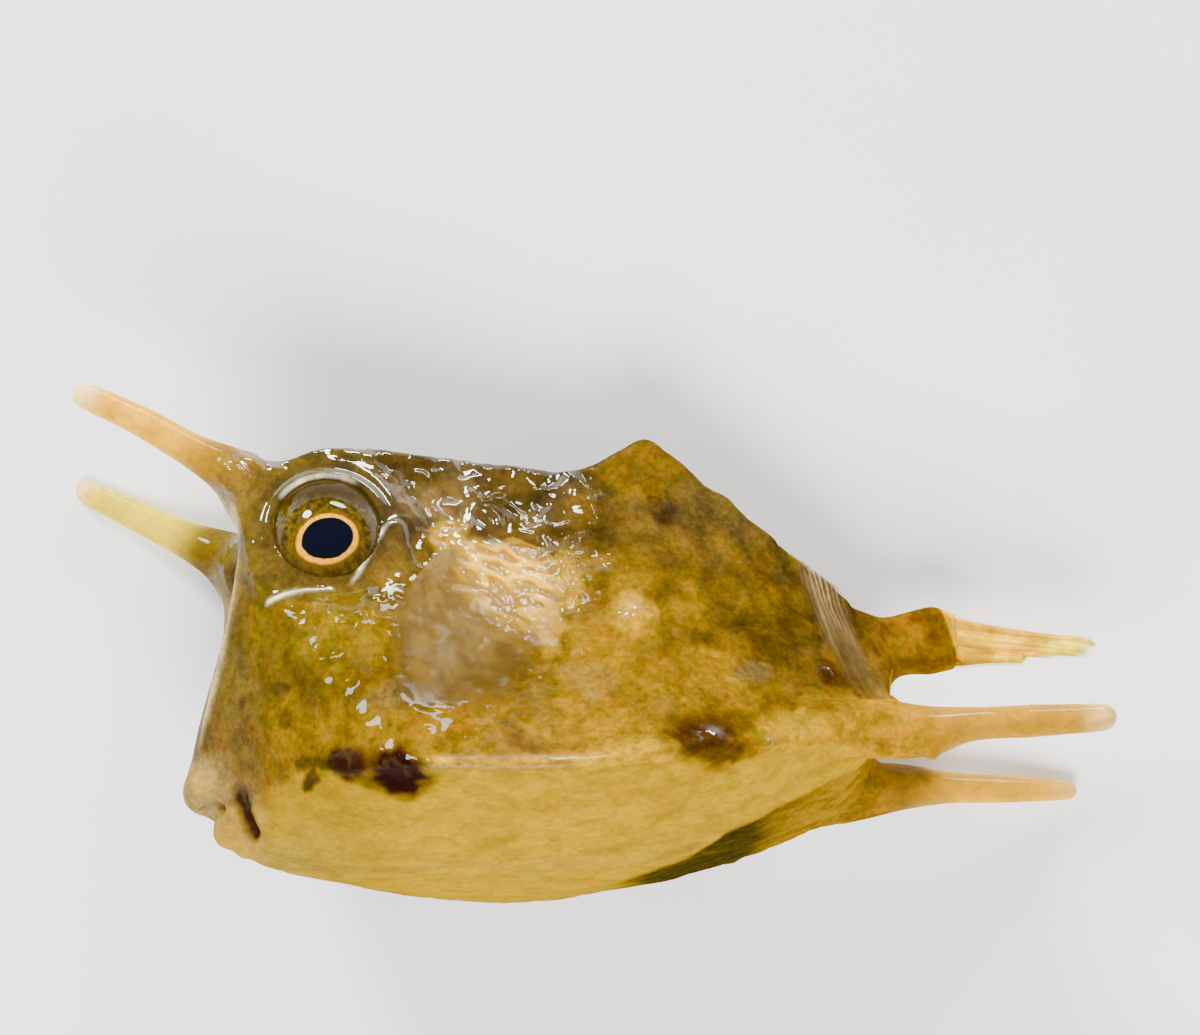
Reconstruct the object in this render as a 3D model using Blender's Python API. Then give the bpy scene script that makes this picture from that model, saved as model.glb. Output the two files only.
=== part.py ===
"""A young longhorn cowfish, life size, lying on its right side as a fresh specimen does.

The fish is modelled in its own frame, in millimetres: x runs from the snout tip to the tail,
y to its left side and z to its back, with z = 0 at the level of the belly's side ridges.
An empty then lays it down: the right horn tip, the right hump of the back and the right
belly ridge touch the floor, at z = 0.
"""

import math
import random
from collections import namedtuple

import bmesh
import bpy
import numpy as np

MM = 0.001
GAP = 0.3

# How the fish lies: rolled belly up, with its head end raised, and then lifted and centred
ROLL = math.radians(20.0)
YAW = math.radians(5.5)
LIFT = 11.15
CENTRE_X = 17.84
CENTRE_Y = 8.0

# The body is lofted through these stations. Each names the median line of the back, the left
# ridge of the back, the left ridge of the belly, the median line of the belly, and how far
# the side between the two ridges bulges out.
Station = namedtuple("Station", "name back back_ridge belly_ridge belly side_bulge")
STATIONS = (
    Station("mouth", (0.5, 3.2), (0.65, 1.35, 2.9), (1.95, 1.5, 0.2), (2.6, -0.55), 0.0),
    Station("muzzle", (0.8, 4.9), (1.0, 2.3, 4.9), (3.0, 3.4, 0.45), (3.7, -1.1), 0.2),
    Station("snout", (1.45, 7.4), (1.55, 3.6, 7.4), (4.0, 5.0, 0.7), (4.9, -1.3), 0.3),
    Station("cheek", (2.5, 10.2), (2.0, 4.7, 10.6), (5.2, 6.4, 0.78), (6.2, -1.35), 0.3),
    Station("brow", (4.0, 13.4), (2.2, 5.3, 14.3), (6.8, 7.6, 0.78), (7.8, -1.35), 0.2),
    Station("eye", (6.6, 15.7), (5.2, 5.5, 15.9), (8.8, 8.7, 0.6), (9.6, -1.3), 0.0),
    Station("gill", (10.2, 16.4), (9.6, 4.8, 16.0), (11.4, 9.4, 0.45), (11.8, -1.2), -0.6),
    Station("shoulder", (13.6, 16.4), (13.4, 4.1, 15.9), (14.4, 9.75, 0.42), (14.6, -1.1), -0.9),
    Station("dip", (16.8, 16.5), (16.8, 3.8, 15.8), (17.2, 9.8, 0.65), (17.2, -0.9), -0.85),
    Station("hump", (20.0, 17.9), (20.0, 3.7, 17.2), (20.2, 9.35, 1.25), (20.0, -0.5), -0.6),
    Station("loin", (23.2, 16.0), (23.0, 3.2, 15.3), (23.4, 8.3, 2.05), (23.0, 0.3), -0.3),
    Station("rump", (26.6, 13.2), (26.6, 2.6, 12.5), (27.2, 6.6, 2.95), (26.8, 1.7), 0.0),
    Station("vent", (29.2, 11.3), (29.3, 1.8, 10.7), (30.4, 4.9, 3.95), (29.9, 3.8), 0.0),
    Station("tail root", (30.1, 11.0), (30.2, 1.4, 10.6), (30.9, 3.2, 6.2), (30.8, 6.0), 0.0),
    Station("tail neck", (30.9, 10.9), (31.0, 0.95, 10.6), (31.4, 1.1, 8.5), (31.4, 8.15), 0.0),
    Station("tail stalk", (33.1, 11.5), (33.1, 0.8, 11.1), (33.1, 0.85, 8.8), (33.1, 8.45), 0.0),
    Station("tail base", (34.1, 11.2), (34.1, 0.5, 10.9), (34.1, 0.5, 9.0), (34.1, 8.7), 0.0),
)

# Bony plates: rows across the half back, the side and the half belly
BACK_ROWS = 2
SIDE_ROWS = 5
BELLY_ROWS = 4
HALF_ROWS = BACK_ROWS + SIDE_ROWS + BELLY_ROWS
ROWS = 2 * HALF_ROWS
FIRST_PLATES = "snout"
LAST_PLATES = "vent"
PLATE_HEIGHT = 0.16
PLATE_CROWN = 0.12
PLATE_SPREAD = 0.2
PLATE_SHARE = 0.82
HEX_PITCH = math.sqrt(3) / 2
FRONT_MARGIN = 0.3
FIN_BED = (12.6, 7.6)
FIN_BED_RADIUS = 5.4
FIN_BED_RELIEF = 0.45

# Eyes
EYES = {"left": (5.95, 4.75, 11.95), "right": (5.95, -3.95, 11.95)}
EYE_RADIUS = 2.7
RIM_RADIUS = 2.6
RIM_THICK = 0.42
RIM_LATERAL = {"left": 6.35, "right": 6.3}

# Horns and belly spines: axis points from the root inside the body to the tip
HORN_AXIS = ((4.8, 4.0, 13.0), (1.9, 5.2, 14.75), (0.2, 5.45, 15.6), (-2.3, 5.75, 16.9))
HORN_TIPS = {"left": (-5.2, 6.0, 18.1), "right": (-4.5, 5.6, 17.85)}
HORN_RADII = {"left": (1.7, 1.25, 0.83, 0.67, 0.56), "right": (1.7, 1.25, 0.83, 0.66, 0.52)}
HORN_CUT = 5.6
SPINE_AXES = {
    "left": ((25.6, 5.4, 3.9), (29.6, 5.0, 4.05), (32.2, 4.85, 4.1), (33.8, 4.9, 4.4),
             (36.8, 5.15, 4.6), (40.4, 5.5, 4.8)),
    "right": ((25.6, 5.4, 3.9), (29.6, 5.0, 4.35), (32.2, 4.85, 4.75), (33.8, 4.9, 4.8),
              (36.8, 5.15, 4.9), (40.2, 5.5, 5.05)),
}
SPINE_RADII = {"left": (1.1, 1.32, 1.14, 0.8, 0.72, 0.6), "right": (1.1, 1.3, 1.08, 0.78, 0.62, 0.42)}
SPINE_CUT = 6.6
TUBE_SIDES = 12

# Lips, from the snout to the chin: the middle of each, how far its corners drop back, half its
# width and its radius
LIPS = (
    ((0.84, 0, 2.6), (0.7, 0, 0.2), 1.0, 0.6),
    ((0.9, 0, 1.85), (1.0, 0, -0.3), 1.25, 0.85),
    ((2.1, 0, 0.1), (0.35, 0, 0.75), 1.25, 0.72),
    ((2.85, 0, -0.42), (0.3, 0, 0.5), 1.1, 0.6),
)

# Nostrils and gill slits: small pits, each with its middle and radii
NOSTRIL = (2.32, 4.2, 7.6)
NOSTRIL_RADII = (0.28, 0.5, 0.28)
GILL = (9.25, 6.9, 11.2)
GILL_RADII = (0.22, 0.6, 1.1)

# Fins: the lines of their bases, bends and outer ends, from the first ray to the last. The
# pectoral fin's are given as x and z, and its bends lie halfway, moved ahead by the bow of the
# first and the last ray. The dorsal fin's are given as x and how far round the body.
PECTORAL_RAYS = 9
PECTORAL_STEPS = 8
PECTORAL_BASE = ((11.0, 11.6), (9.6, 9.7))
PECTORAL_END = ((14.0, 12.2), (15.6, 11.4), (16.3, 9.8), (15.9, 7.7), (15.0, 5.6), (13.8, 3.9),
                (12.2, 3.1), (10.4, 3.2), (8.9, 4.2))
PECTORAL_BOW = (0.35, -1.3)
PECTORAL_THICKNESS = (0.5, 0.68, 0.8)
PECTORAL_LIFT = 0.34
DORSAL_RAYS = 6
DORSAL_STEPS = 12
DORSAL_BASE = ((26.4, 0.3), (27.1, 0.3), (27.8, 0.3), (28.5, 0.3))
DORSAL_BEND = ((26.6, 3.0), (27.4, 2.95), (28.2, 2.9), (28.9, 2.75))
DORSAL_END = ((28.7, 4.9), (29.1, 5.2), (29.5, 5.25), (29.8, 4.9))
DORSAL_THICKNESS = (0.5, 0.66, 0.7)
DORSAL_LIFT = 0.36
FreeFin = namedtuple("FreeFin", "bases bends ends rays steps thickness")
CAUDAL = FreeFin(
    ((34.5, 0.03, 10.9), (34.5, -0.03, 10.4), (34.5, 0.03, 9.9), (34.5, -0.03, 9.4), (34.5, 0.03, 9.0)),
    ((36.9, 0.04, 10.5), (37.0, -0.04, 10.2), (37.1, 0.04, 9.85), (37.0, -0.04, 9.5), (36.4, 0.04, 9.1)),
    ((40.0, 0.02, 10.5), (40.3, -0.02, 10.25), (40.3, 0.02, 10.0), (39.9, -0.02, 9.7), (37.8, 0.02, 9.3)),
    6, 9, (0.5, 0.7, 0.8),
)
ANAL = FreeFin(
    ((31.8, -1.7, 8.9), (32.2, -1.7, 8.95), (32.6, -1.7, 9.05), (33.0, -1.7, 9.15)),
    ((32.3, -1.85, 9.3), (32.9, -1.85, 9.35), (33.5, -1.8, 9.4), (34.0, -1.75, 9.5)),
    ((33.0, -1.85, 10.5), (33.9, -1.8, 10.5), (34.7, -1.75, 10.35), (35.1, -1.7, 9.9)),
    6, 7, (0.5, 0.66, 0.7),
)

# Where the body is parted
HEAD_CUT_X = 9.8
TAIL_CUT_X = 32.6
BEYOND = 60.0

COLOURS = {
    "head_skin": (0.42, 0.27, 0.06),
    "skin": (0.45, 0.29, 0.04),
    "tail_skin": (0.50, 0.27, 0.06),
    "horn": (0.71, 0.44, 0.16),
    "spine": (0.68, 0.40, 0.15),
    "eye": (0.02, 0.015, 0.02),
    "fin": (0.62, 0.47, 0.26),
    "caudal": (0.74, 0.40, 0.08),
}
ROUGHNESS = {"head_skin": 0.35, "skin": 0.35, "tail_skin": 0.35, "horn": 0.3, "spine": 0.3,
             "eye": 0.08, "fin": 0.3, "caudal": 0.3}


def on_floor(points):
    """Points of the fish's own frame, in millimetres, to the lying model's, in metres."""
    x, y, z = np.atleast_2d(np.asarray(points, float)).T
    ahead = x * math.cos(YAW) + y * math.sin(YAW)
    left = y * math.cos(YAW) - x * math.sin(YAW)
    across = z * math.cos(ROLL) + left * math.sin(ROLL)
    up = left * math.cos(ROLL) - z * math.sin(ROLL)
    return np.stack([ahead - CENTRE_X, across - CENTRE_Y, up + LIFT], 1) * MM


def spline(knots, values, at):
    """Values through the knots by a cubic whose slopes come from the neighbouring knots."""
    knots, values, at = np.asarray(knots), np.asarray(values), np.asarray(at, float)
    slopes = np.gradient(values, knots, axis=0)
    i = np.clip(np.searchsorted(knots, at, side="right") - 1, 0, len(knots) - 2)
    span = (knots[i + 1] - knots[i])[:, None]
    u = ((at - knots[i])[:, None]) / span
    return (
        values[i] * (1 + 2 * u) * (1 - u) ** 2
        + values[i + 1] * (3 - 2 * u) * u**2
        + slopes[i] * span * u * (1 - u) ** 2
        - slopes[i + 1] * span * (1 - u) * u**2
    )


def guide_table():
    """One row of numbers for each station, and how far along the body each one is."""
    rows = []
    for station in STATIONS:
        rows.append((*station.back, *station.back_ridge, *station.belly_ridge,
                     *station.belly, station.side_bulge))
    table = np.array(rows)
    ridges = table[:, 2:8].reshape(-1, 2, 3)
    steps = np.linalg.norm(np.diff(ridges, axis=0), axis=2).mean(axis=1)
    return table, np.concatenate([[0.0], np.cumsum(steps)])


GUIDES, ALONG = guide_table()


def along_of(name):
    return ALONG[[station.name for station in STATIONS].index(name)]


def body_points(along, around):
    """Points of the smooth body. around counts plate rows, from the back's median line over
    the left side to the belly at HALF_ROWS, and back up the right side."""
    guide = spline(ALONG, GUIDES, along)
    around = np.mod(around, ROWS)
    side = np.where(around <= HALF_ROWS, 1.0, -1.0)
    row = np.where(around <= HALF_ROWS, around, ROWS - around)
    back = np.stack([guide[:, 0], 0 * guide[:, 0], guide[:, 1]], 1)
    back_ridge, belly_ridge = guide[:, 2:5], guide[:, 5:8]
    belly = np.stack([guide[:, 8], 0 * guide[:, 8], guide[:, 9]], 1)

    def crowned(middle, ridge, share):
        share = share[:, None]
        rise = middle + (ridge - middle) * share**2
        rise[:, 1] = (ridge * share)[:, 1]
        return rise

    on_back = crowned(back, back_ridge, row / BACK_ROWS)
    on_belly = crowned(belly, belly_ridge, (HALF_ROWS - row) / BELLY_ROWS)
    down = np.clip((row - BACK_ROWS) / SIDE_ROWS, 0, 1)[:, None]
    on_side = back_ridge + (belly_ridge - back_ridge) * down
    on_side[:, 1] += guide[:, 10] * (4 * down * (1 - down))[:, 0]
    is_back = (row < BACK_ROWS)[:, None]
    is_side = (row <= BACK_ROWS + SIDE_ROWS)[:, None]
    points = np.where(is_back, on_back, np.where(is_side, on_side, on_belly))
    points[:, 1] *= side
    return points


def body_normals(along, around, step=0.25):
    """Outward normals of the smooth body, averaged over a small patch."""
    ahead = body_points(np.minimum(along + step, ALONG[-1]), around)
    behind = body_points(np.maximum(along - step, 0), around)
    next_row = body_points(along, around + step)
    last_row = body_points(along, around - step)
    normals = np.cross(ahead - behind, next_row - last_row)
    return normals / np.linalg.norm(normals, axis=1, keepdims=True)


def on_body(along, around, height=0.0, step=0.25):
    along, around = np.atleast_1d(along).astype(float), np.atleast_1d(around).astype(float)
    return body_points(along, around) + body_normals(along, around, step) * height


def plate_columns():
    """How far along the body each column of plates lies, so that the plates stay regular."""
    along = np.linspace(along_of(FIRST_PLATES), along_of(LAST_PLATES), 400)
    rows = np.arange(ROWS)
    rings = np.array([body_points(np.full(ROWS, a), rows) for a in along])
    girth = np.linalg.norm(rings - np.roll(rings, 1, axis=1), axis=2).sum(axis=1)
    travel = np.linalg.norm(np.diff(rings, axis=0), axis=2).mean(axis=1)
    pitch = girth / ROWS * HEX_PITCH
    count = np.concatenate([[0.0], np.cumsum(travel / (pitch[1:] + pitch[:-1]) * 2)])
    columns = int(round(count[-1]))
    return columns, lambda place: np.interp(np.asarray(place) * count[-1] / columns, count, along)


def body_mesh():
    """The whole plated body as one closed mesh: muzzle rings, hexagonal plates, tail rings."""
    rng = random.Random(4)
    columns, along_at = plate_columns()
    half_rows = np.arange(2 * ROWS) / 2
    mesh = bmesh.new()

    def ring(along, height=0.0):
        points = on_body(np.broadcast_to(along, half_rows.shape), half_rows, height)
        return [mesh.verts.new(p) for p in on_floor(points)]

    def zigzag(column):
        """The border between this column and the next one."""
        even = (np.arange(2 * ROWS) % 2) == (column % 2)
        return ring(along_at(column + 0.5 + np.where(even, 2 / 3, 1 / 3)))

    def bridge(first, second):
        for i in range(2 * ROWS):
            j = (i + 1) % (2 * ROWS)
            mesh.faces.new((first[i], first[j], second[j], second[i]))

    front = [ring(a) for a in np.linspace(0, along_of(FIRST_PLATES) - FRONT_MARGIN, 4)]
    borders = [zigzag(column) for column in range(-1, columns - 1)]
    rear_places = np.linspace(along_at(columns - 0.05), along_of("tail neck"), 3)
    rear = [ring(a) for a in rear_places]
    rear += [ring(along_of(name)) for name in ("tail stalk", "tail base")]
    for first, second in zip(front, front[1:]):
        bridge(first, second)
    bridge(front[-1], borders[0])
    bridge(borders[-1], rear[0])
    for first, second in zip(rear, rear[1:]):
        bridge(first, second)
    mesh.faces.new(list(reversed(front[0])))
    mesh.faces.new(rear[-1])

    for column in range(columns - 1):
        before, after = borders[column], borders[column + 1]
        for row in range(ROWS):
            middle = 2 * row + column % 2
            above, below = (middle - 1) % (2 * ROWS), (middle + 1) % (2 * ROWS)
            outer = (before[middle], before[below], after[below],
                     after[middle], after[above], before[above])
            add_plate(mesh, outer, along_at, column + 0.5, middle / 2, rng)
    bmesh.ops.recalc_face_normals(mesh, faces=mesh.faces)
    return mesh


def add_plate(mesh, outer, along_at, place, row, rng):
    """One raised hexagonal plate with a low crown, inside its six border points."""
    height = PLATE_HEIGHT * (1 + PLATE_SPREAD * rng.uniform(-1, 1))
    middle = body_points(np.atleast_1d(along_at(place)), np.atleast_1d(row))[0]
    under_fin = math.dist(middle[[0, 2]], FIN_BED) < FIN_BED_RADIUS
    height *= FIN_BED_RELIEF if under_fin else 1
    crown = PLATE_CROWN * (FIN_BED_RELIEF if under_fin else 1)
    corners = ((-2 / 3, 0), (-1 / 3, 0.5), (1 / 3, 0.5), (2 / 3, 0), (1 / 3, -0.5), (-1 / 3, -0.5))
    places = np.array([place + PLATE_SHARE * c[0] for c in corners] + [place])
    rows = np.array([row + PLATE_SHARE * c[1] for c in corners] + [row])
    heights = np.full((7, 1), height)
    heights[6] += crown
    points = on_body(along_at(places), rows, heights)
    inner = [mesh.verts.new(p) for p in on_floor(points)]
    for i in range(6):
        j = (i + 1) % 6
        mesh.faces.new((outer[i], outer[j], inner[j], inner[i]))
        mesh.faces.new((inner[i], inner[j], inner[6]))


def find_on_side(x, z):
    """How far along and around the left side the point with this x and z lies."""
    a, b = np.meshgrid(np.linspace(0, ALONG[-1], 160), np.linspace(1.0, 8.0, 60))
    a, b = a.ravel(), b.ravel()
    table = body_points(a, b)
    x, z = np.atleast_1d(x).astype(float), np.atleast_1d(z).astype(float)
    near = np.argmin((table[:, 0] - x[:, None]) ** 2 + (table[:, 2] - z[:, None]) ** 2, axis=1)
    along, around = a[near], b[near]
    for _ in range(6):
        here = body_points(along, around)
        d_along = (body_points(along + 0.02, around) - here) / 0.02
        d_around = (body_points(along, around + 0.02) - here) / 0.02
        error_x, error_z = x - here[:, 0], z - here[:, 2]
        det = d_along[:, 0] * d_around[:, 2] - d_around[:, 0] * d_along[:, 2]
        along = along + (error_x * d_around[:, 2] - error_z * d_around[:, 0]) / det
        around = around + (error_z * d_along[:, 0] - error_x * d_along[:, 2]) / det
    return along, around


def new_object(name, mesh, look=None):
    """An object of this bmesh, which is used up."""
    bmesh.ops.recalc_face_normals(mesh, faces=mesh.faces)
    bmesh.ops.triangulate(mesh, faces=mesh.faces)
    data = bpy.data.meshes.new(name)
    mesh.to_mesh(data)
    mesh.free()
    made = bpy.data.objects.new(name, data)
    bpy.context.scene.collection.objects.link(made)
    if look:
        data.materials.append(look)
    return made


def material(name, colour, roughness):
    made = bpy.data.materials.new(name)
    made.use_nodes = True
    shader = made.node_tree.nodes["Principled BSDF"]
    shader.inputs["Base Color"].default_value = (*colour, 1)
    shader.inputs["Roughness"].default_value = roughness
    shader.inputs["Metallic"].default_value = 0
    return made


def mirrored(points, side):
    points = np.atleast_2d(np.array(points, float))
    if side == "right":
        points[:, 1] *= -1
    return points


def skin_over(loops):
    """A closed mesh over these loops of points, with flat ends."""
    mesh = bmesh.new()
    rings = [[mesh.verts.new(p) for p in on_floor(loop)] for loop in loops]
    for first, second in zip(rings, rings[1:]):
        for i in range(len(first)):
            j = (i + 1) % len(first)
            mesh.faces.new((first[i], first[j], second[j], second[i]))
    mesh.faces.new(rings[0])
    mesh.faces.new(rings[-1])
    return mesh


def tube(axis, radii, start=0.0, end=None, rings=9, domed=True):
    """A tapering round tube along a smooth axis. start and end are distances along it."""
    axis = np.array(axis, float)
    knots = np.concatenate([[0.0], np.cumsum(np.linalg.norm(np.diff(axis, axis=0), axis=1))])
    end = knots[-1] if end is None else end

    def swell(place):
        return spline(knots, np.array(radii, float)[:, None], place)[:, 0]

    places = np.linspace(start, end, rings)
    widths = swell(places)
    if domed:
        tip = widths[-1]
        places = np.linspace(start, end - tip, rings)
        turns = np.radians((28, 56, 80))
        widths = np.concatenate([swell(places), tip * np.cos(turns)])
        places = np.concatenate([places, end - tip * (1 - np.sin(turns))])
    centres = spline(knots, axis, places)
    ahead = spline(knots, axis, np.minimum(places + 0.05, knots[-1]))
    behind = spline(knots, axis, np.maximum(places - 0.05, 0))
    loops = []
    for centre, width, way in zip(centres, widths, ahead - behind):
        way = way / np.linalg.norm(way)
        across = np.cross(way, (0, 0, 1))
        across /= np.linalg.norm(across)
        up = np.cross(across, way)
        turn = math.tau * np.arange(TUBE_SIDES)[:, None] / TUBE_SIDES
        loops.append(centre + width * (np.cos(turn) * across + np.sin(turn) * up))
    return skin_over(loops)


def ball(centre, radii, rings=9, sides=18):
    """An ellipsoid about the lateral axis, closed at both poles by small flats."""
    loops = []
    for latitude in np.linspace(-math.pi / 2 + 0.12, math.pi / 2 - 0.12, rings):
        turn = math.tau * np.arange(sides) / sides
        offsets = [np.cos(turn) * math.cos(latitude) * radii[0],
                   np.full(sides, math.sin(latitude) * radii[1]),
                   np.sin(turn) * math.cos(latitude) * radii[2]]
        loops.append(np.array(centre) + np.stack(offsets, 1))
    return skin_over(loops)


def hoop(centre, normal, radius, thick, sides=24, facets=8):
    """A closed ring of round section."""
    normal = np.array(normal, float) / np.linalg.norm(normal)
    across = np.cross(normal, (0, 0, 1))
    across /= np.linalg.norm(across)
    up = np.cross(across, normal)
    mesh = bmesh.new()
    rings = []
    for i in range(sides):
        way = math.cos(math.tau * i / sides) * across + math.sin(math.tau * i / sides) * up
        turn = math.tau * np.arange(facets)[:, None] / facets
        loop = centre + way * (radius + thick * np.cos(turn)) + normal * thick * np.sin(turn)
        rings.append([mesh.verts.new(p) for p in on_floor(loop)])
    for i in range(sides):
        first, second = rings[i], rings[(i + 1) % sides]
        for j in range(facets):
            k = (j + 1) % facets
            mesh.faces.new((first[j], first[k], second[k], second[j]))
    return mesh


def box(low, high, lying=True):
    """A box in the fish's frame, or in the floor's when lying is false."""
    corners = np.array([(x, y, z) for x in (low[0], high[0]) for y in (low[1], high[1])
                        for z in (low[2], high[2])], float)
    mesh = bmesh.new()
    places = on_floor(corners) if lying else corners * MM
    v = [mesh.verts.new(p) for p in places]
    for face in ((0, 1, 3, 2), (4, 6, 7, 5), (0, 4, 5, 1), (2, 3, 7, 6), (0, 2, 6, 4), (1, 5, 7, 3)):
        mesh.faces.new([v[i] for i in face])
    return mesh


def combine(target, operation, meshes):
    """Join these closed meshes to the target, or cut them out of it."""
    group = bpy.data.collections.new("pieces")
    pieces = []
    for mesh in meshes:
        piece = new_object("piece", mesh)
        piece.hide_render = True
        piece.display_type = "WIRE"
        group.objects.link(piece)
        pieces.append(piece)
    step = target.modifiers.new("combine", "BOOLEAN")
    step.operation = operation
    step.operand_type = "COLLECTION"
    step.collection = group
    step.solver = "EXACT"
    bpy.context.view_layer.update()
    evaluated = target.evaluated_get(bpy.context.evaluated_depsgraph_get())
    result = bpy.data.meshes.new_from_object(evaluated)
    target.modifiers.remove(step)
    target.data = result
    for piece in pieces:
        bpy.data.objects.remove(piece)
    bpy.data.collections.remove(group)


def keep_largest(target):
    """Drop every loose closed surface except the largest."""
    mesh = bmesh.new()
    mesh.from_mesh(target.data)
    waiting, islands = set(mesh.verts), []
    while waiting:
        stack, island = [waiting.pop()], []
        while stack:
            vert = stack.pop()
            island.append(vert)
            for edge in vert.link_edges:
                other = edge.other_vert(vert)
                if other in waiting:
                    waiting.remove(other)
                    stack.append(other)
        islands.append(island)
    islands.sort(key=len)
    for island in islands[:-1]:
        bmesh.ops.delete(mesh, geom=island, context="VERTS")
    bmesh.ops.triangulate(mesh, faces=mesh.faces)
    mesh.to_mesh(target.data)
    mesh.free()


def slice_of(body, name, low_x, high_x, look):
    piece = bpy.data.objects.new(name, body.data.copy())
    bpy.context.scene.collection.objects.link(piece)
    combine(piece, "INTERSECT", [box((low_x, -BEYOND, -BEYOND), (high_x, BEYOND, BEYOND))])
    keep_largest(piece)
    piece.data.materials.clear()
    piece.data.materials.append(look)
    return piece


def sheet(points, thickness):
    """A closed sheet about a grid of points. Both faces are split into triangles alike."""
    rays, steps = thickness.shape
    along = np.gradient(points, axis=1)
    across = np.gradient(points, axis=0)
    normals = np.cross(along, across)
    normals /= np.linalg.norm(normals, axis=2, keepdims=True)
    mesh = bmesh.new()
    faces = []
    for sign in (1, -1):
        places = points + normals * thickness[:, :, None] * sign / 2
        verts = [mesh.verts.new(p) for p in on_floor(places.reshape(-1, 3))]
        faces.append(np.array(verts, dtype=object).reshape(rays, steps))
    for i in range(rays - 1):
        for j in range(steps - 1):
            for grid in faces:
                a, b, c, d = grid[i, j], grid[i + 1, j], grid[i + 1, j + 1], grid[i, j + 1]
                if (i + j) % 2:
                    mesh.faces.new((a, b, c))
                    mesh.faces.new((a, c, d))
                else:
                    mesh.faces.new((a, b, d))
                    mesh.faces.new((b, c, d))
    first, second = faces
    rim = [(i, 0) for i in range(rays)] + [(rays - 1, j) for j in range(1, steps)]
    rim += [(i, steps - 1) for i in range(rays - 2, -1, -1)] + [(0, j) for j in range(steps - 2, 0, -1)]
    for here, after in zip(rim, rim[1:] + rim[:1]):
        mesh.faces.new((first[here], first[after], second[after], second[here]))
    return mesh


def spread(line, count):
    """This many points along a smooth line, as a column."""
    knots = np.linspace(0, 1, len(line))
    return spline(knots, np.array(line, float), np.linspace(0, 1, count))[:, None]


def fan(bases, bends, ends, count, steps):
    """A grid of points: rays that run from a base line over a bend to the outer edge."""
    r = np.linspace(0, 1, steps)[None, :, None]
    from_base = spread(bases, count) * (1 - r) ** 2
    over_bend = spread(bends, count) * 2 * r * (1 - r)
    return from_base + over_bend + spread(ends, count) * r**2


def ray_thickness(count, steps, membrane, ray, base):
    """Rays stand out of the membrane on both faces, and the base is thicker."""
    r = np.linspace(0, 1, steps)[None, :]
    stripe = (np.arange(count) % 2 == 1)[:, None] * (1 - 0.6 * r)
    return membrane + (ray - membrane) * stripe + (base - membrane) * (1 - r) ** 3


def pectoral(side):
    """The fin lies spread over the side, just clear of the plates."""
    count = 2 * PECTORAL_RAYS + 1
    last = len(PECTORAL_END) - 1
    bends = []
    for i, end in enumerate(PECTORAL_END):
        share = i / last
        bow = PECTORAL_BOW[0] * (1 - share**2) + PECTORAL_BOW[1] * share**2
        base = np.array(PECTORAL_BASE[0]) * (1 - share) + np.array(PECTORAL_BASE[1]) * share
        bends.append((base + end) / 2 + (bow, 0))
    flat = fan(PECTORAL_BASE, bends, PECTORAL_END, count, PECTORAL_STEPS).reshape(-1, 2)
    along, around = find_on_side(flat[:, 0], flat[:, 1])
    height = (PLATE_HEIGHT * (1 + PLATE_SPREAD) + PLATE_CROWN) * FIN_BED_RELIEF + GAP + PECTORAL_LIFT
    points = mirrored(on_body(along, around, height), side).reshape(count, PECTORAL_STEPS, 3)
    return sheet(points, ray_thickness(count, PECTORAL_STEPS, *PECTORAL_THICKNESS))


def line_on_body(line):
    """The places along the body of points given as x and how far round it they are."""
    along = np.linspace(0, ALONG[-1], 400)
    places = []
    for x, row in line:
        reach = body_points(along, np.full(len(along), row))[:, 0]
        places.append((np.interp(x, reach, along), row))
    return places


def dorsal():
    """The fin folds over the left ridge of the back and hangs down the side."""
    count = 2 * DORSAL_RAYS + 1
    lines = [line_on_body(line) for line in (DORSAL_BASE, DORSAL_BEND, DORSAL_END)]
    flat = fan(*lines, count, DORSAL_STEPS).reshape(-1, 2)
    height = PLATE_HEIGHT * (1 + PLATE_SPREAD) + PLATE_CROWN + GAP + DORSAL_LIFT
    points = on_body(flat[:, 0], flat[:, 1], height, 0.8).reshape(count, DORSAL_STEPS, 3)
    return sheet(points, ray_thickness(count, DORSAL_STEPS, *DORSAL_THICKNESS))


def free_fin(fin):
    count = 2 * fin.rays + 1
    points = fan(fin.bases, fin.bends, fin.ends, count, fin.steps)
    return sheet(points, ray_thickness(count, fin.steps, *fin.thickness))


def lip(middle, drop, width, radius):
    """A fleshy lip, bent across the mouth from corner to corner."""
    axis = []
    radii = []
    for turn in np.radians(np.linspace(-84, 84, 7)):
        set_back = np.array(drop) * (1 - math.cos(turn))
        axis.append(np.array(middle) + set_back + (0, width * math.sin(turn), 0))
        radii.append(radius * (0.55 + 0.45 * math.cos(turn)))
    return tube(axis, radii, rings=11, domed=False)


def horn_axis(side):
    return mirrored((*HORN_AXIS, HORN_TIPS[side]), side)


def spine_axis(side):
    return mirrored(SPINE_AXES[side], side)


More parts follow.
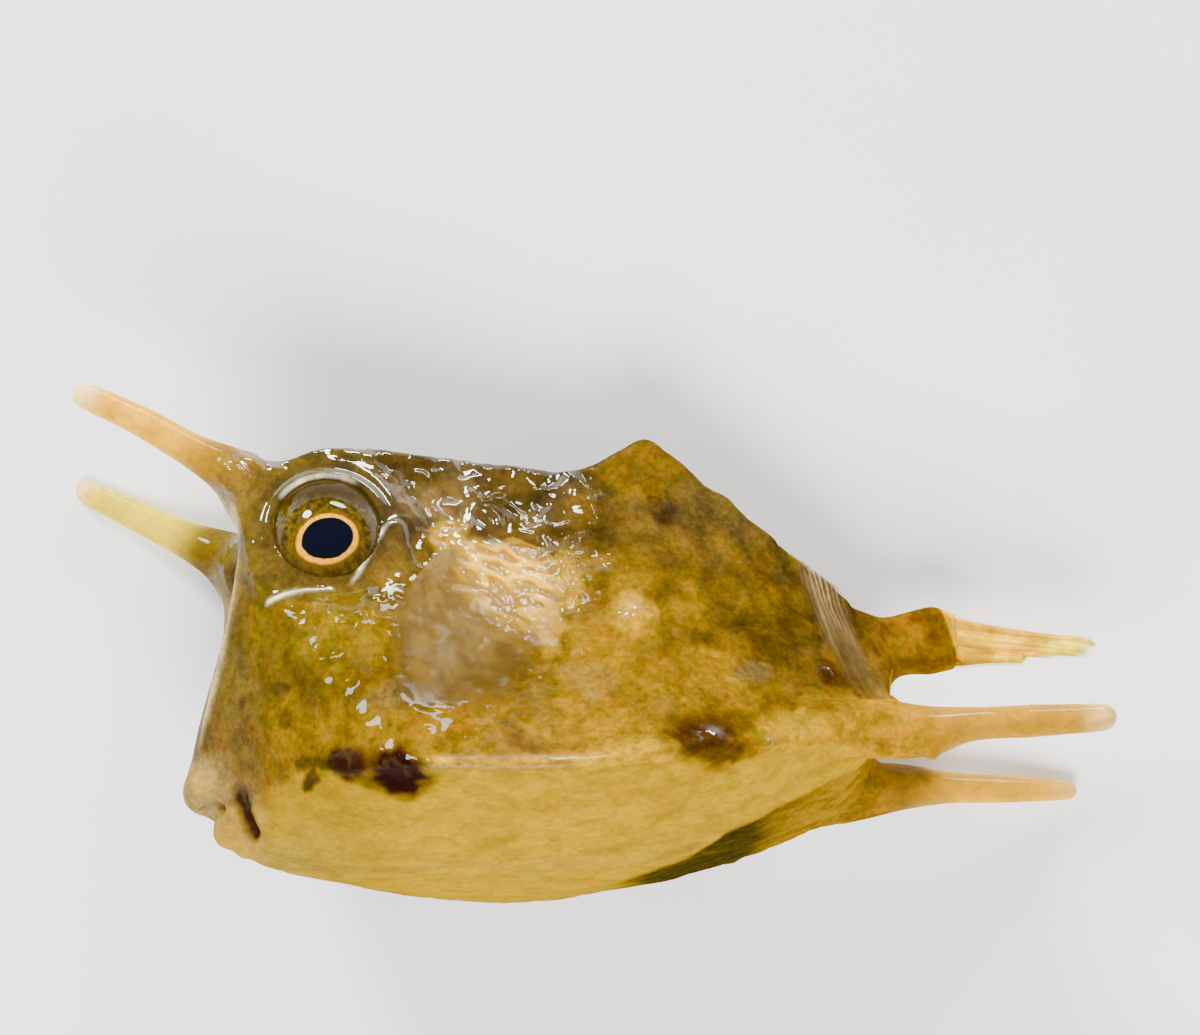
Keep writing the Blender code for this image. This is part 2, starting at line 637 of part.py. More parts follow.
def whole_body(look):
    """The plated body with its lips, lids, horn roots, nostrils, gill slits and sockets."""
    body = new_object("body", body_mesh(), look)
    added, cut = [], []
    for side in ("left", "right"):
        added.append(tube(horn_axis(side), HORN_RADII[side], 0.0, HORN_CUT, 6, False))
        added.append(tube(spine_axis(side), SPINE_RADII[side], 0.0, SPINE_CUT, 6, False))
        rim_centre = mirrored((EYES[side][0], RIM_LATERAL[side], EYES[side][2]), side)[0]
        rim_normal = mirrored((-0.05, 1.0, 0.2), side)[0]
        added.append(hoop(rim_centre, rim_normal, RIM_RADIUS, RIM_THICK))
        cut.append(ball(EYES[side], [EYE_RADIUS + GAP] * 3))
        cut.append(ball(mirrored(NOSTRIL, side)[0], NOSTRIL_RADII, 5, 10))
        cut.append(ball(mirrored(GILL, side)[0], GILL_RADII, 6, 12))
    added += [lip(*one) for one in LIPS]
    combine(body, "UNION", added)
    combine(body, "DIFFERENCE", cut)
    keep_largest(body)
    return body


def stand_on_floor(nodes):
    """Flatten what would reach below the floor, where the fish's weight rests on it."""
    for node in nodes:
        if min(v.co.z for v in node.data.vertices) < 0:
            look = node.data.materials[0]
            below = box((-BEYOND, -BEYOND, -BEYOND), (BEYOND, BEYOND, 0), lying=False)
            combine(node, "DIFFERENCE", [below])
            keep_largest(node)
            node.data.materials.clear()
            node.data.materials.append(look)


def main():
    for old in list(bpy.data.objects):
        bpy.data.objects.remove(old)
    looks = {name: material(name, colour, ROUGHNESS[name]) for name, colour in COLOURS.items()}
    body = whole_body(looks["skin"])
    half = GAP / 2
    nodes = [
        slice_of(body, "head", -BEYOND, HEAD_CUT_X - half, looks["head_skin"]),
        slice_of(body, "carapace", HEAD_CUT_X + half, TAIL_CUT_X - half, looks["skin"]),
        slice_of(body, "tail_stalk", TAIL_CUT_X + half, BEYOND, looks["tail_skin"]),
    ]
    bpy.data.objects.remove(body)
    for side in ("left", "right"):
        eye = ball(EYES[side], [EYE_RADIUS] * 3, 11, 20)
        horn = tube(horn_axis(side), HORN_RADII[side], HORN_CUT + GAP)
        spine = tube(spine_axis(side), SPINE_RADII[side], SPINE_CUT + GAP)
        nodes.append(new_object("eye_" + side, eye, looks["eye"]))
        nodes.append(new_object("horn_" + side, horn, looks["horn"]))
        nodes.append(new_object("spine_" + side, spine, looks["spine"]))
        nodes.append(new_object("pectoral_fin_" + side, pectoral(side), looks["fin"]))
    nodes.append(new_object("caudal_fin", free_fin(CAUDAL), looks["caudal"]))
    nodes.append(new_object("dorsal_fin", dorsal(), looks["fin"]))
    nodes.append(new_object("anal_fin", free_fin(ANAL), looks["fin"]))
    stand_on_floor(nodes)
    for node in nodes:
        node.data.shade_smooth()
        node.data.set_sharp_from_angle(angle=math.radians(40))


main()
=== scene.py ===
"""A young longhorn cowfish, wet and life size, lying on its right side on a pale floor."""

import math
from types import SimpleNamespace

import bmesh
import bpy
import numpy as np
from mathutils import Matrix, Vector
from mathutils.bvhtree import BVHTree


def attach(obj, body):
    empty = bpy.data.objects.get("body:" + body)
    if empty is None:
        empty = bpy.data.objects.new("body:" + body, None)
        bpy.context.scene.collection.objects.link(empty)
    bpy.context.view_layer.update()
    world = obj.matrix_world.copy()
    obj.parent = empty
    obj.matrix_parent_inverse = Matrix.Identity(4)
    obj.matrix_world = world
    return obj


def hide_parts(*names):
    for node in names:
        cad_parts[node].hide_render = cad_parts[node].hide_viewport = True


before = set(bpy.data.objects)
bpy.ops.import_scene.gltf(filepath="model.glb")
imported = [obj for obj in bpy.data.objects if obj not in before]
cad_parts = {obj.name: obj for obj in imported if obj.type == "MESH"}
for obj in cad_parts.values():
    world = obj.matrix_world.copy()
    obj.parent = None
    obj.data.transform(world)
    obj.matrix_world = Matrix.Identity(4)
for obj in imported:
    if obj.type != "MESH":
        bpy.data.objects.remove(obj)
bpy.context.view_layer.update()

MM = 0.001
SIDES = ("left", "right")

# The fish's own frame, in millimetres, and how it lies
ROLL = math.radians(20.0)
YAW = math.radians(5.5)
LIFT = 11.15
CENTRE_X = 17.84
CENTRE_Y = 8.0

# Guides along the body: x and z of the back's median line, x, y and z of the left ridges of the
# back and the belly, x and z of the belly's median line, and how far the side bulges
STATIONS = {
    "mouth": (0.5, 3.2, 0.65, 1.35, 2.9, 1.95, 1.5, 0.2, 2.6, -0.55, 0.0),
    "muzzle": (0.8, 4.9, 1.0, 2.3, 4.9, 3.0, 3.4, 0.45, 3.7, -1.1, 0.2),
    "snout": (1.45, 7.4, 1.55, 3.6, 7.4, 4.0, 5.0, 0.7, 4.9, -1.3, 0.3),
    "cheek": (2.5, 10.2, 2.0, 4.7, 10.6, 5.2, 6.4, 0.78, 6.2, -1.35, 0.3),
    "brow": (4.0, 13.4, 2.2, 5.3, 14.3, 6.8, 7.6, 0.78, 7.8, -1.35, 0.2),
    "eye": (6.6, 15.7, 5.2, 5.5, 15.9, 8.8, 8.7, 0.6, 9.6, -1.3, 0.0),
    "gill": (10.2, 16.4, 9.6, 4.8, 16.0, 11.4, 9.4, 0.45, 11.8, -1.2, -0.6),
    "shoulder": (13.6, 16.4, 13.4, 4.1, 15.9, 14.4, 9.75, 0.42, 14.6, -1.1, -0.9),
    "dip": (16.8, 16.5, 16.8, 3.8, 15.8, 17.2, 9.8, 0.65, 17.2, -0.9, -0.85),
    "hump": (20.0, 17.9, 20.0, 3.7, 17.2, 20.2, 9.35, 1.25, 20.0, -0.5, -0.6),
    "loin": (23.2, 16.0, 23.0, 3.2, 15.3, 23.4, 8.3, 2.05, 23.0, 0.3, -0.3),
    "rump": (26.6, 13.2, 26.6, 2.6, 12.5, 27.2, 6.6, 2.95, 26.8, 1.7, 0.0),
    "vent": (29.2, 11.3, 29.3, 1.8, 10.7, 30.4, 4.9, 3.95, 29.9, 3.8, 0.0),
    "tail root": (30.1, 11.0, 30.2, 1.4, 10.6, 30.9, 3.2, 6.2, 30.8, 6.0, 0.0),
    "tail neck": (30.9, 10.9, 31.0, 0.95, 10.6, 31.4, 1.1, 8.5, 31.4, 8.15, 0.0),
    "tail stalk": (33.1, 11.5, 33.1, 0.8, 11.1, 33.1, 0.85, 8.8, 33.1, 8.45, 0.0),
    "tail base": (34.1, 11.2, 34.1, 0.5, 10.9, 34.1, 0.5, 9.0, 34.1, 8.7, 0.0),
}

# Rows of plates, counted from the back's median line over one side to the belly's
BACK_ROWS = 2
SIDE_ROWS = 5
BELLY_ROWS = 4
BACK_RIDGE = BACK_ROWS
BELLY_RIDGE = BACK_ROWS + SIDE_ROWS
HALF_ROWS = BELLY_RIDGE + BELLY_ROWS
ROWS = 2 * HALF_ROWS
HEX_PITCH = math.sqrt(3) / 2


def columns(*parts):
    """These numbers, or arrays of them, side by side in one array."""
    return np.stack(np.broadcast_arrays(*parts), -1).astype(float)


def on_floor(points):
    """Points of the fish's own frame, in millimetres, to the scene, in metres."""
    x, y, z = np.asarray(points, float).T
    ahead = x * math.cos(YAW) + y * math.sin(YAW)
    left = y * math.cos(YAW) - x * math.sin(YAW)
    across = z * math.cos(ROLL) + left * math.sin(ROLL)
    up = left * math.cos(ROLL) - z * math.sin(ROLL)
    return columns(ahead - CENTRE_X, across - CENTRE_Y, up + LIFT) * MM


def in_fish(places):
    """The way back: places in the scene, in metres, to the fish's own frame."""
    ahead, across, up = (np.asarray(places, float) / MM + (CENTRE_X, CENTRE_Y, -LIFT)).T
    z = across * math.cos(ROLL) - up * math.sin(ROLL)
    left = across * math.sin(ROLL) + up * math.cos(ROLL)
    x = ahead * math.cos(YAW) - left * math.sin(YAW)
    return columns(x, ahead * math.sin(YAW) + left * math.cos(YAW), z)


def seen_from_above(fish):
    """How far ahead and across points lie in the top view. The right side takes the place that
    its mirror image on the left has."""
    x, y, z = np.asarray(fish, float).T
    y = np.abs(y)
    left = y * math.cos(YAW) - x * math.sin(YAW)
    return x * math.cos(YAW) + y * math.sin(YAW), z * math.cos(ROLL) + left * math.sin(ROLL)


def mirrored(points, side):
    """Points of the left side, or their mirror images on the right."""
    return np.array(points, float) * (1, 1 if side == "left" else -1, 1)


def unit(vectors):
    return vectors / np.maximum(np.linalg.norm(vectors, axis=-1, keepdims=True), 1e-12)


def running(steps):
    """The running total of these steps, from 0."""
    return np.concatenate([[0.0], np.cumsum(steps)])


def smooth(low, high, values):
    u = np.clip((values - low) / (high - low), 0, 1)
    return u * u * (3 - 2 * u)


def fade(low, high, values):
    return 1 - smooth(low, high, values)


def between(rise, top, drop, end, values):
    """A plateau of height 1 from top to drop, with soft ends."""
    return smooth(rise, top, values) * fade(drop, end, values)


def bump(distance, width):
    """A soft hill of height 1, as wide as this."""
    return np.exp(-((distance / width) ** 2))


def lattice_noise(points, seed):
    """Smooth noise from -1 to 1, from random values on a lattice of unit cells."""
    cell = np.floor(points).astype(np.int64)
    part = points - cell
    part = part * part * (3 - 2 * part)
    total = np.zeros(len(points))
    for corner in np.ndindex(2, 2, 2):
        key = ((cell + corner) * (73856093, 19349663, 83492791)).T
        key = (key[0] ^ key[1] ^ key[2] ^ (seed * 668265263)) & 0xFFFFFFFF
        for shift, factor in ((15, 2246822519), (13, 3266489917)):
            key = ((key ^ (key >> shift)) * factor) & 0xFFFFFFFF
        value = (key ^ (key >> 16)) / 0xFFFFFFFF * 2 - 1
        total += value * np.where(corner, part, 1 - part).prod(axis=1)
    return total


def noise(points, size, seed, octaves=3):
    """Layered noise from about -1 to 1. size is that of its largest lumps, in millimetres."""
    total, weight = 0.0, 0.0
    for octave in range(octaves):
        share = 0.55**octave
        total = total + lattice_noise(points / size * 2**octave, seed + octave) * share
        weight += share
    return total / weight * 1.6


def spline(knots, values, at):
    """Values through the knots by a cubic whose slopes come from the neighbouring knots."""
    knots, values, at = np.asarray(knots), np.asarray(values), np.asarray(at, float)
    slopes = np.gradient(values, knots, axis=0)
    i = np.clip(np.searchsorted(knots, at, side="right") - 1, 0, len(knots) - 2)
    span = (knots[i + 1] - knots[i])[:, None]
    u = ((at - knots[i])[:, None]) / span
    return (
        values[i] * (1 + 2 * u) * (1 - u) ** 2
        + values[i + 1] * (3 - 2 * u) * u**2
        + slopes[i] * span * u * (1 - u) ** 2
        - slopes[i + 1] * span * (1 - u) * u**2
    )


GUIDES = np.array(list(STATIONS.values()))
RIDGES = GUIDES[:, 2:8].reshape(-1, 2, 3)
ALONG = running(np.linalg.norm(np.diff(RIDGES, axis=0), axis=2).mean(axis=1))
PLACE = dict(zip(STATIONS, ALONG))


def body_points(along, around):
    """Points of the smooth body. around counts plate rows, from the back's median line over
    the left side to the belly at HALF_ROWS, and back up the right side."""
    guide = spline(ALONG, GUIDES, along)
    around = np.mod(around, ROWS)[:, None]
    row = np.minimum(around, ROWS - around)
    back_ridge, belly_ridge = guide[:, 2:5], guide[:, 5:8]

    def crowned(middle, ridge, share):
        rise = middle + (ridge - middle) * share**2
        rise[:, 1] = (ridge * share)[:, 1]
        return rise

    on_back = crowned(columns(guide[:, 0], 0, guide[:, 1]), back_ridge, row / BACK_ROWS)
    on_belly = crowned(columns(guide[:, 8], 0, guide[:, 9]), belly_ridge, (HALF_ROWS - row) / BELLY_ROWS)
    down = np.clip((row - BACK_ROWS) / SIDE_ROWS, 0, 1)
    on_side = back_ridge + (belly_ridge - back_ridge) * down
    on_side[:, 1] += guide[:, 10] * (4 * down * (1 - down))[:, 0]
    points = np.where(row < BACK_RIDGE, on_back, np.where(row <= BELLY_RIDGE, on_side, on_belly))
    points[:, 1] *= np.where(around <= HALF_ROWS, 1.0, -1.0)[:, 0]
    return points


def above_body(along, around, height, step):
    """Points this high above the body, along normals that are even over about a step."""
    ahead = body_points(np.minimum(along + step, ALONG[-1]), around)
    behind = body_points(np.maximum(along - step, 0), around)
    across = body_points(along, around + step) - body_points(along, around - step)
    return body_points(along, around) + unit(np.cross(ahead - behind, across)) * height[:, None]


def find_on_side(x, z, nudge=0.02):
    """How far along and around the left side the points with this x and z lie."""
    a, b = np.meshgrid(np.linspace(0, ALONG[-1], 160), np.linspace(1.0, 8.0, 60))
    a, b = a.ravel(), b.ravel()
    table = body_points(a, b)
    near = np.argmin((table[:, 0] - x[:, None]) ** 2 + (table[:, 2] - z[:, None]) ** 2, axis=1)
    along, around = a[near], b[near]
    for _ in range(6):
        here = body_points(along, around)
        along_x, _, along_z = ((body_points(along + nudge, around) - here) / nudge).T
        around_x, _, around_z = ((body_points(along, around + nudge) - here) / nudge).T
        error_x, error_z = x - here[:, 0], z - here[:, 2]
        det = along_x * around_z - around_x * along_z
        along = along + (error_x * around_z - error_z * around_x) / det
        around = around + (error_z * along_x - error_x * along_z) / det
    return along, around


def new_object(name, points, faces, look=None):
    """An object of these points of the fish's frame, with its faces turned outwards."""
    data = bpy.data.meshes.new(name)
    data.from_pydata(on_floor(points).tolist(), [], faces)
    data.update()
    if look:
        data.materials.append(look)
    work = bmesh.new()
    work.from_mesh(data)
    bmesh.ops.recalc_face_normals(work, faces=work.faces)
    work.to_mesh(data)
    work.free()
    data.shade_smooth()
    made = bpy.data.objects.new(name, data)
    bpy.context.scene.collection.objects.link(made)
    return made


def loft(loops):
    """Points and faces of a closed skin over these loops. The last two faces close its ends."""
    loops = np.asarray(loops)
    count, sides = loops.shape[:2]
    index = np.arange(count * sides).reshape(count, sides)
    after = np.roll(index, -1, axis=1)
    quads = np.stack([index[:-1], after[:-1], after[1:], index[1:]], -1).reshape(-1, 4)
    return loops.reshape(-1, 3), quads.tolist() + [index[0][::-1].tolist(), index[-1].tolist()]


def tube(axis, radii, rings=40, sides=32, domed=True):
    """A tapering round tube along a smooth axis, with a domed tip."""
    axis, radii = np.array(axis, float), np.array(radii, float)[:, None]
    knots = running(np.linalg.norm(np.diff(axis, axis=0), axis=1))
    end, tip = knots[-1], radii[-1, 0]
    places = np.linspace(0, end - tip * domed, rings)
    widths = spline(knots, radii, places)[:, 0]
    if domed:
        turns = np.radians(np.linspace(8, 86, 9))
        places = np.concatenate([places, end - tip * (1 - np.sin(turns))])
        widths = np.concatenate([widths, tip * np.cos(turns)])
    centres = spline(knots, axis, places)
    way = unit(spline(knots, axis, np.minimum(places + 0.05, end))
               - spline(knots, axis, np.maximum(places - 0.05, 0)))
    across = unit(np.cross(way, (0, 0, 1)))
    up = np.cross(across, way)
    turn = (math.tau * np.arange(sides) / sides)[None, :, None]
    ring = np.cos(turn) * across[:, None] + np.sin(turn) * up[:, None]
    return loft(centres[:, None] + widths[:, None, None] * ring)


HORN_AXIS = ((5.2, 3.6, 12.6), (3.3, 4.6, 13.7), (1.9, 5.2, 14.75), (0.2, 5.45, 15.6), (-2.3, 5.75, 16.9))
HORN_AXES = {"left": (*HORN_AXIS, (-5.2, 6.0, 18.1)), "right": (*HORN_AXIS, (-4.5, 5.6, 17.85))}
HORN_RADII = {"left": (1.9, 1.75, 1.2, 0.83, 0.67, 0.56), "right": (1.9, 1.75, 1.2, 0.83, 0.66, 0.52)}
SPINE_AXES = {
    "left": ((25.6, 5.4, 3.9), (29.6, 5.0, 4.05), (32.2, 4.85, 4.1), (33.8, 4.9, 4.4),
             (36.8, 5.15, 4.6), (40.4, 5.5, 4.8)),
    "right": ((25.6, 5.4, 3.9), (29.6, 5.0, 4.35), (32.2, 4.85, 4.75), (33.8, 4.9, 4.8),
              (36.8, 5.15, 4.9), (40.2, 5.5, 5.05)),
}
SPINE_RADII = {"left": (1.0, 1.32, 1.14, 0.8, 0.72, 0.6), "right": (1.0, 1.3, 1.08, 0.78, 0.62, 0.42)}
# The web of skin between each spine's root and the rear edge of the body
WEB_AXIS = ((30.1, 2.8, 6.9), (30.5, 3.75, 5.8), (30.95, 4.45, 5.15), (31.6, 4.75, 4.8), (33.0, 4.85, 4.5))
WEB_RADII = (0.3, 0.45, 0.45, 0.4, 0.3)
EYE_BALL = 2.7
EYE_CENTRE = {"left": (5.95, 4.75, 11.95), "right": (5.95, 3.95, 11.95)}
EYE_WAY = unit(np.array((-0.05, 1.0, 0.1)))
EYE_OPENING = {"left": 2.33, "right": 1.6}
# Folds of lip: the middle, how the ends drop, half width and radius
LIPS = (
    ((0.84, 0, 2.65), (0.7, 0, 0.2), 1.0, 0.6),
    ((0.9, 0, 1.85), (1.0, 0, -0.3), 1.25, 0.85),
    ((2.1, 0, 0.1), (0.35, 0, 0.75), 1.25, 0.72),
    ((2.9, 0, -0.45), (0.3, 0, 0.5), 1.1, 0.6),
)
VOXEL = 0.11
GRID_ALONG = 360
GRID_AROUND = ROWS * 14


def lip(middle, drop, width, radius):
    turn = np.radians(np.linspace(-86, 86, 9))
    axis = [np.array(middle) + np.array(drop) * (1 - math.cos(a)) + (0, width * math.sin(a), 0)
            for a in turn]
    return tube(axis, [radius * (0.5 + 0.5 * math.cos(a)) for a in turn], 30, 24, False)


def body_grid():
    """The smooth body as a fine grid."""
    along = np.linspace(0, ALONG[-1], GRID_ALONG)
    around = np.arange(GRID_AROUND) * ROWS / GRID_AROUND
    a, b = np.meshgrid(along, around, indexing="ij")
    return body_points(a.ravel(), b.ravel()).reshape(GRID_ALONG, GRID_AROUND, 3)


def fused_skin():
    """The body, lips, horns, spines and tail stalk as one closed surface."""
    pieces = [loft(body_grid())] + [lip(*one) for one in LIPS]
    for side in SIDES:
        pieces.append(tube(mirrored(HORN_AXES[side], side), HORN_RADII[side]))
        pieces.append(tube(mirrored(SPINE_AXES[side], side), SPINE_RADII[side]))
        pieces.append(tube(mirrored(WEB_AXIS, side), WEB_RADII, domed=False))
    points, faces = [], []
    for piece_points, piece_faces in pieces:
        start = sum(map(len, points))
        points.append(piece_points)
        faces += [[i + start for i in face] for face in piece_faces]
    made = new_object("cowfish_skin", np.concatenate(points), faces)
    remesh = made.modifiers.new("fuse", "REMESH")
    remesh.mode = "VOXEL"
    remesh.voxel_size = VOXEL * MM
    bpy.context.view_layer.update()
    evaluated = made.evaluated_get(bpy.context.evaluated_depsgraph_get())
    fused = bpy.data.meshes.new_from_object(evaluated)
    made.modifiers.clear()
    made.data = fused
    return made


def read(rows, name):
    """A vector of each vertex or normal of a mesh."""
    values = np.empty(len(rows) * 3)
    rows.foreach_get(name, values)
    return values.reshape(-1, 3)


def set_places(data, places):
    data.vertices.foreach_set("co", np.ascontiguousarray(places).ravel())
    data.update()


def relax(data, places, weight, rounds):
    """Even out the surface where weight is high, as wet clay is smoothed with a thumb."""
    edges = np.empty(len(data.edges) * 2, np.int64)
    data.edges.foreach_get("vertices", edges)
    edges = edges.reshape(-1, 2)
    used, index = np.unique(edges[(weight[edges] > 0.001).any(axis=1)], return_inverse=True)
    first, second = index.reshape(-1, 2).T
    count = len(used)
    degree = np.bincount(first, minlength=count) + np.bincount(second, minlength=count)
    patch, share = places[used], weight[used, None] * 0.5
    for _ in range(rounds):
        total = np.empty_like(patch)
        for axis in range(3):
            total[:, axis] = np.bincount(first, patch[second, axis], count)
            total[:, axis] += np.bincount(second, patch[first, axis], count)
        patch = patch + (total / degree[:, None] - patch) * share
    places = places.copy()
    places[used] = patch
    return places


def find_on_grid(fish):
    """How far along and around the body each point of the fish's frame is, and how far off."""
    grid = body_grid()
    points, faces = loft(grid)
    tree = BVHTree.FromPolygons(points.tolist(), faces[:-2])
    face, off = np.empty(len(fish), int), np.empty(len(fish))
    for i, point in enumerate(fish.tolist()):
        _, _, face[i], off[i] = tree.find_nearest(point)
    i, j = np.divmod(face, GRID_AROUND)
    start = grid[i, j]

    def share_of_way(end):
        way = end - start
        return np.clip(((fish - start) * way).sum(1) / np.maximum((way**2).sum(1), 1e-9), 0, 1)

    u = share_of_way(grid[np.minimum(i + 1, GRID_ALONG - 1), j])
    v = share_of_way(grid[i, (j + 1) % GRID_AROUND])
    return (i + u) * ALONG[-1] / (GRID_ALONG - 1), (j + v) * ROWS / GRID_AROUND, off


def plate_columns():
    """Places along the body, and how many columns of plates lie before each."""
    along = np.linspace(PLACE["snout"], PLACE["vent"], 400)
    rings = np.array([body_points(np.full(ROWS, a), np.arange(ROWS)) for a in along])
    girth = np.linalg.norm(rings - np.roll(rings, 1, axis=1), axis=2).sum(axis=1)
    travel = np.linalg.norm(np.diff(rings, axis=0), axis=2).mean(axis=1)
    pitch = girth / ROWS * HEX_PITCH
    count = running(travel / (pitch[1:] + pitch[:-1]) * 2)
    return along, count * round(count[-1]) / count[-1]


def plate_pattern(along, around):
    """For each point, how deep inside its plate it is, 0 at the border and 1 at the middle,
    how far from the middle, and which plate that is."""
    table, counts = plate_columns()
    place = np.interp(along, table, counts)
    place += (np.minimum(along - table[0], 0) + np.maximum(along - table[-1], 0)) / 1.1
    best, middle = np.full(len(along), 9.0), np.full(len(along), 9.0)
    label = np.zeros((len(along), 2))
    for step in (0, 1):
        column = np.floor(place - 0.5) + step
        shift = 0.5 * np.mod(column, 2)
        row = np.round(around - shift) + shift
        dx, dy = np.abs(place - column - 0.5) * HEX_PITCH, np.abs(around - row)
        apart = np.maximum(dy, dx * HEX_PITCH + dy * 0.5) / 0.5
        closer = apart < best
        best = np.where(closer, apart, best)
        middle = np.where(closer, np.hypot(dx, dy), middle)
        label[closer] = columns(column, np.mod(row, ROWS))[closer]
    return 1 - best, middle, label


def eye_view(fish, side):
    """Each point's distance from an eye's axis, its height along that axis from the eye's
    centre, and its turn about it in degrees, from the front over the top."""
    way, offset = mirrored(EYE_WAY, side), fish - mirrored(EYE_CENTRE[side], side)
    height = offset @ way
    radial = np.linalg.norm(offset - height[:, None] * way, axis=1)
    return radial, height, np.degrees(np.arctan2(offset[:, 2], -offset[:, 0]))


def near_path(points, path):
    """Distance of each point from a path, and how far along it, from 0 to 1."""
    path = np.asarray(path, float)
    ways = np.diff(path, axis=0)
    starts = running(np.linalg.norm(ways, axis=1))
    best, where = np.full(len(points), 1e9), np.zeros(len(points))
    for start, way, before, after in zip(path, ways, starts, starts[1:]):
        share = np.clip((points - start) @ way / (way @ way), 0, 1)
        distance = np.linalg.norm(points - start - share[:, None] * way, axis=1)
        closer = distance < best
        best = np.where(closer, distance, best)
        where = np.where(closer, (before + share * (after - before)) / starts[-1], where)
    return best, where


# Fins: the lines of their bases, bends and ends. The one on the side is given as x and z,
# the one on the back as x and how far round the body.
PECTORAL_RAYS = 11
PECTORAL_BASE = ((11.0, 11.6), (9.6, 9.7))
PECTORAL_END = ((14.0, 12.3), (15.6, 11.5), (16.4, 9.8), (16.0, 7.7), (15.0, 5.6), (13.8, 3.8),
                (12.2, 3.0), (10.4, 3.1), (8.8, 4.1))
PECTORAL_BOW = (0.35, -1.3)
FIN_CLEARANCE = 0.14
DORSAL_RAYS = 9
DORSAL = (
    ((26.4, 0.2), (27.1, 0.2), (27.8, 0.2), (28.5, 0.2)),
    ((26.6, 3.1), (27.4, 3.0), (28.3, 2.9), (29.1, 2.7)),
    ((29.0, 5.3), (29.4, 5.65), (29.75, 5.65), (30.0, 5.2)),
)
CAUDAL = (
    ((33.2, 0.05, 11.1), (33.35, -0.05, 10.55), (33.5, 0.05, 10.0), (33.65, -0.05, 9.4), (33.8, 0.05, 8.95)),
    ((36.4, 0.12, 10.35), (36.6, -0.12, 10.15), (36.7, 0.1, 9.85), (36.6, -0.12, 9.45), (36.0, 0.1, 9.05)),
    ((40.0, 0.1, 10.25), (40.3, 0.0, 10.1), (40.35, 0.1, 9.93), (40.3, 0.0, 9.75), (40.0, -0.1, 9.55),
     (37.6, 0.0, 9.4), (37.25, 0.1, 9.2), (37.15, 0.1, 9.05)),
)
ANAL = (
    ((31.6, -0.6, 9.1), (32.0, -0.6, 9.15), (32.4, -0.6, 9.2), (32.8, -0.55, 9.25)),
    ((32.3, -1.75, 9.3), (32.9, -1.7, 9.35), (33.5, -1.6, 9.4), (34.0, -1.5, 9.5)),
    ((33.0, -1.7, 10.6), (33.9, -1.65, 10.6), (34.7, -1.55, 10.4), (35.1, -1.45, 9.9)),
)

# Single raised bosses on the plates: place, width, height. Those that are high up stay dry.
BOSSES = (
    ((19.15, 6.2, 8.65), 0.75, 0.3),
    ((22.9, 6.85, 5.9), 0.9, 0.13),
    ((17.2, 7.8, 4.5), 1.1, 0.14),
    ((17.85, 5.2, 11.4), 0.6, 0.12),
    ((24.9, 5.0, 9.6), 0.8, 0.1),
    ((20.6, 7.6, 4.2), 0.9, 0.1),
    ((27.8, 4.75, 6.7), 0.36, 0.28),
    ((22.45, 8.45, 2.45), 0.5, 0.16),
    ((24.95, 7.65, 2.35), 0.34, 0.18),
    ((32.4, 4.75, 3.0), 0.3, 0.24),
    ((19.95, 3.65, 17.3), 0.6, 0.25),
    ((23.6, 3.15, 15.1), 0.5, 0.14),
    ((25.5, 2.8, 13.5), 0.4, 0.1),
    ((28.1, 2.2, 11.6), 0.5, 0.18),
)
DRY_ABOVE = 11.5
GILL = ((8.95, 6.55, 12.1), (9.25, 6.7, 11.3), (9.5, 7.0, 10.4))
NOSTRIL = (2.32, 4.2, 7.6)
MOUTH_LINE = ((2.2, 1.5, 0.75), (1.6, 1.25, 0.75), (1.15, 0.7, 0.85), (1.0, 0.0, 0.9), (1.15, -0.7, 0.85),
              (1.6, -1.25, 0.75), (2.2, -1.5, 0.75))
# Lines on the side as x and z: the crease behind the lips, the lips, and the folds of slack
# skin behind and under the eye, whose ridges also carry a painted highlight
MOUTH_CREASE = ((2.15, 1.45), (2.38, 0.88), (2.76, 0.0), (3.4, -0.8))
LIP_LINE = ((0.5, 2.2), (2.5, -0.5))
FOLDS = (
    ((6.75, 9.2), (7.16, 9.75), (7.65, 10.75), (8.0, 11.5), (8.4, 12.15), (9.0, 12.8), (9.6, 12.9)),
    ((3.2, 8.5), (4.05, 8.8), (5.05, 9.05), (6.3, 9.2)),
)


def fin_bed(x, z):
    """1 where the pectoral fin lies on the side, falling to 0 just outside it."""
    knots = np.linspace(0, 1, len(PECTORAL_END))
    end = spline(knots, np.array(PECTORAL_END), np.linspace(0, 1, 40))
    outline = np.concatenate([PECTORAL_BASE, end[::-1], PECTORAL_BASE[:1]])
    inside = np.zeros(len(x), bool)
    for (ax, az), (bx, bz) in zip(outline, outline[1:]):
        crosses = (az > z) != (bz > z)
        inside ^= crosses & (x < (bx - ax) * (z - az) / np.where(bz == az, 1e-9, bz - az) + ax)
    return np.where(inside, 1.0, fade(0.0, 0.35, near_path(columns(x, z), outline)[0]))


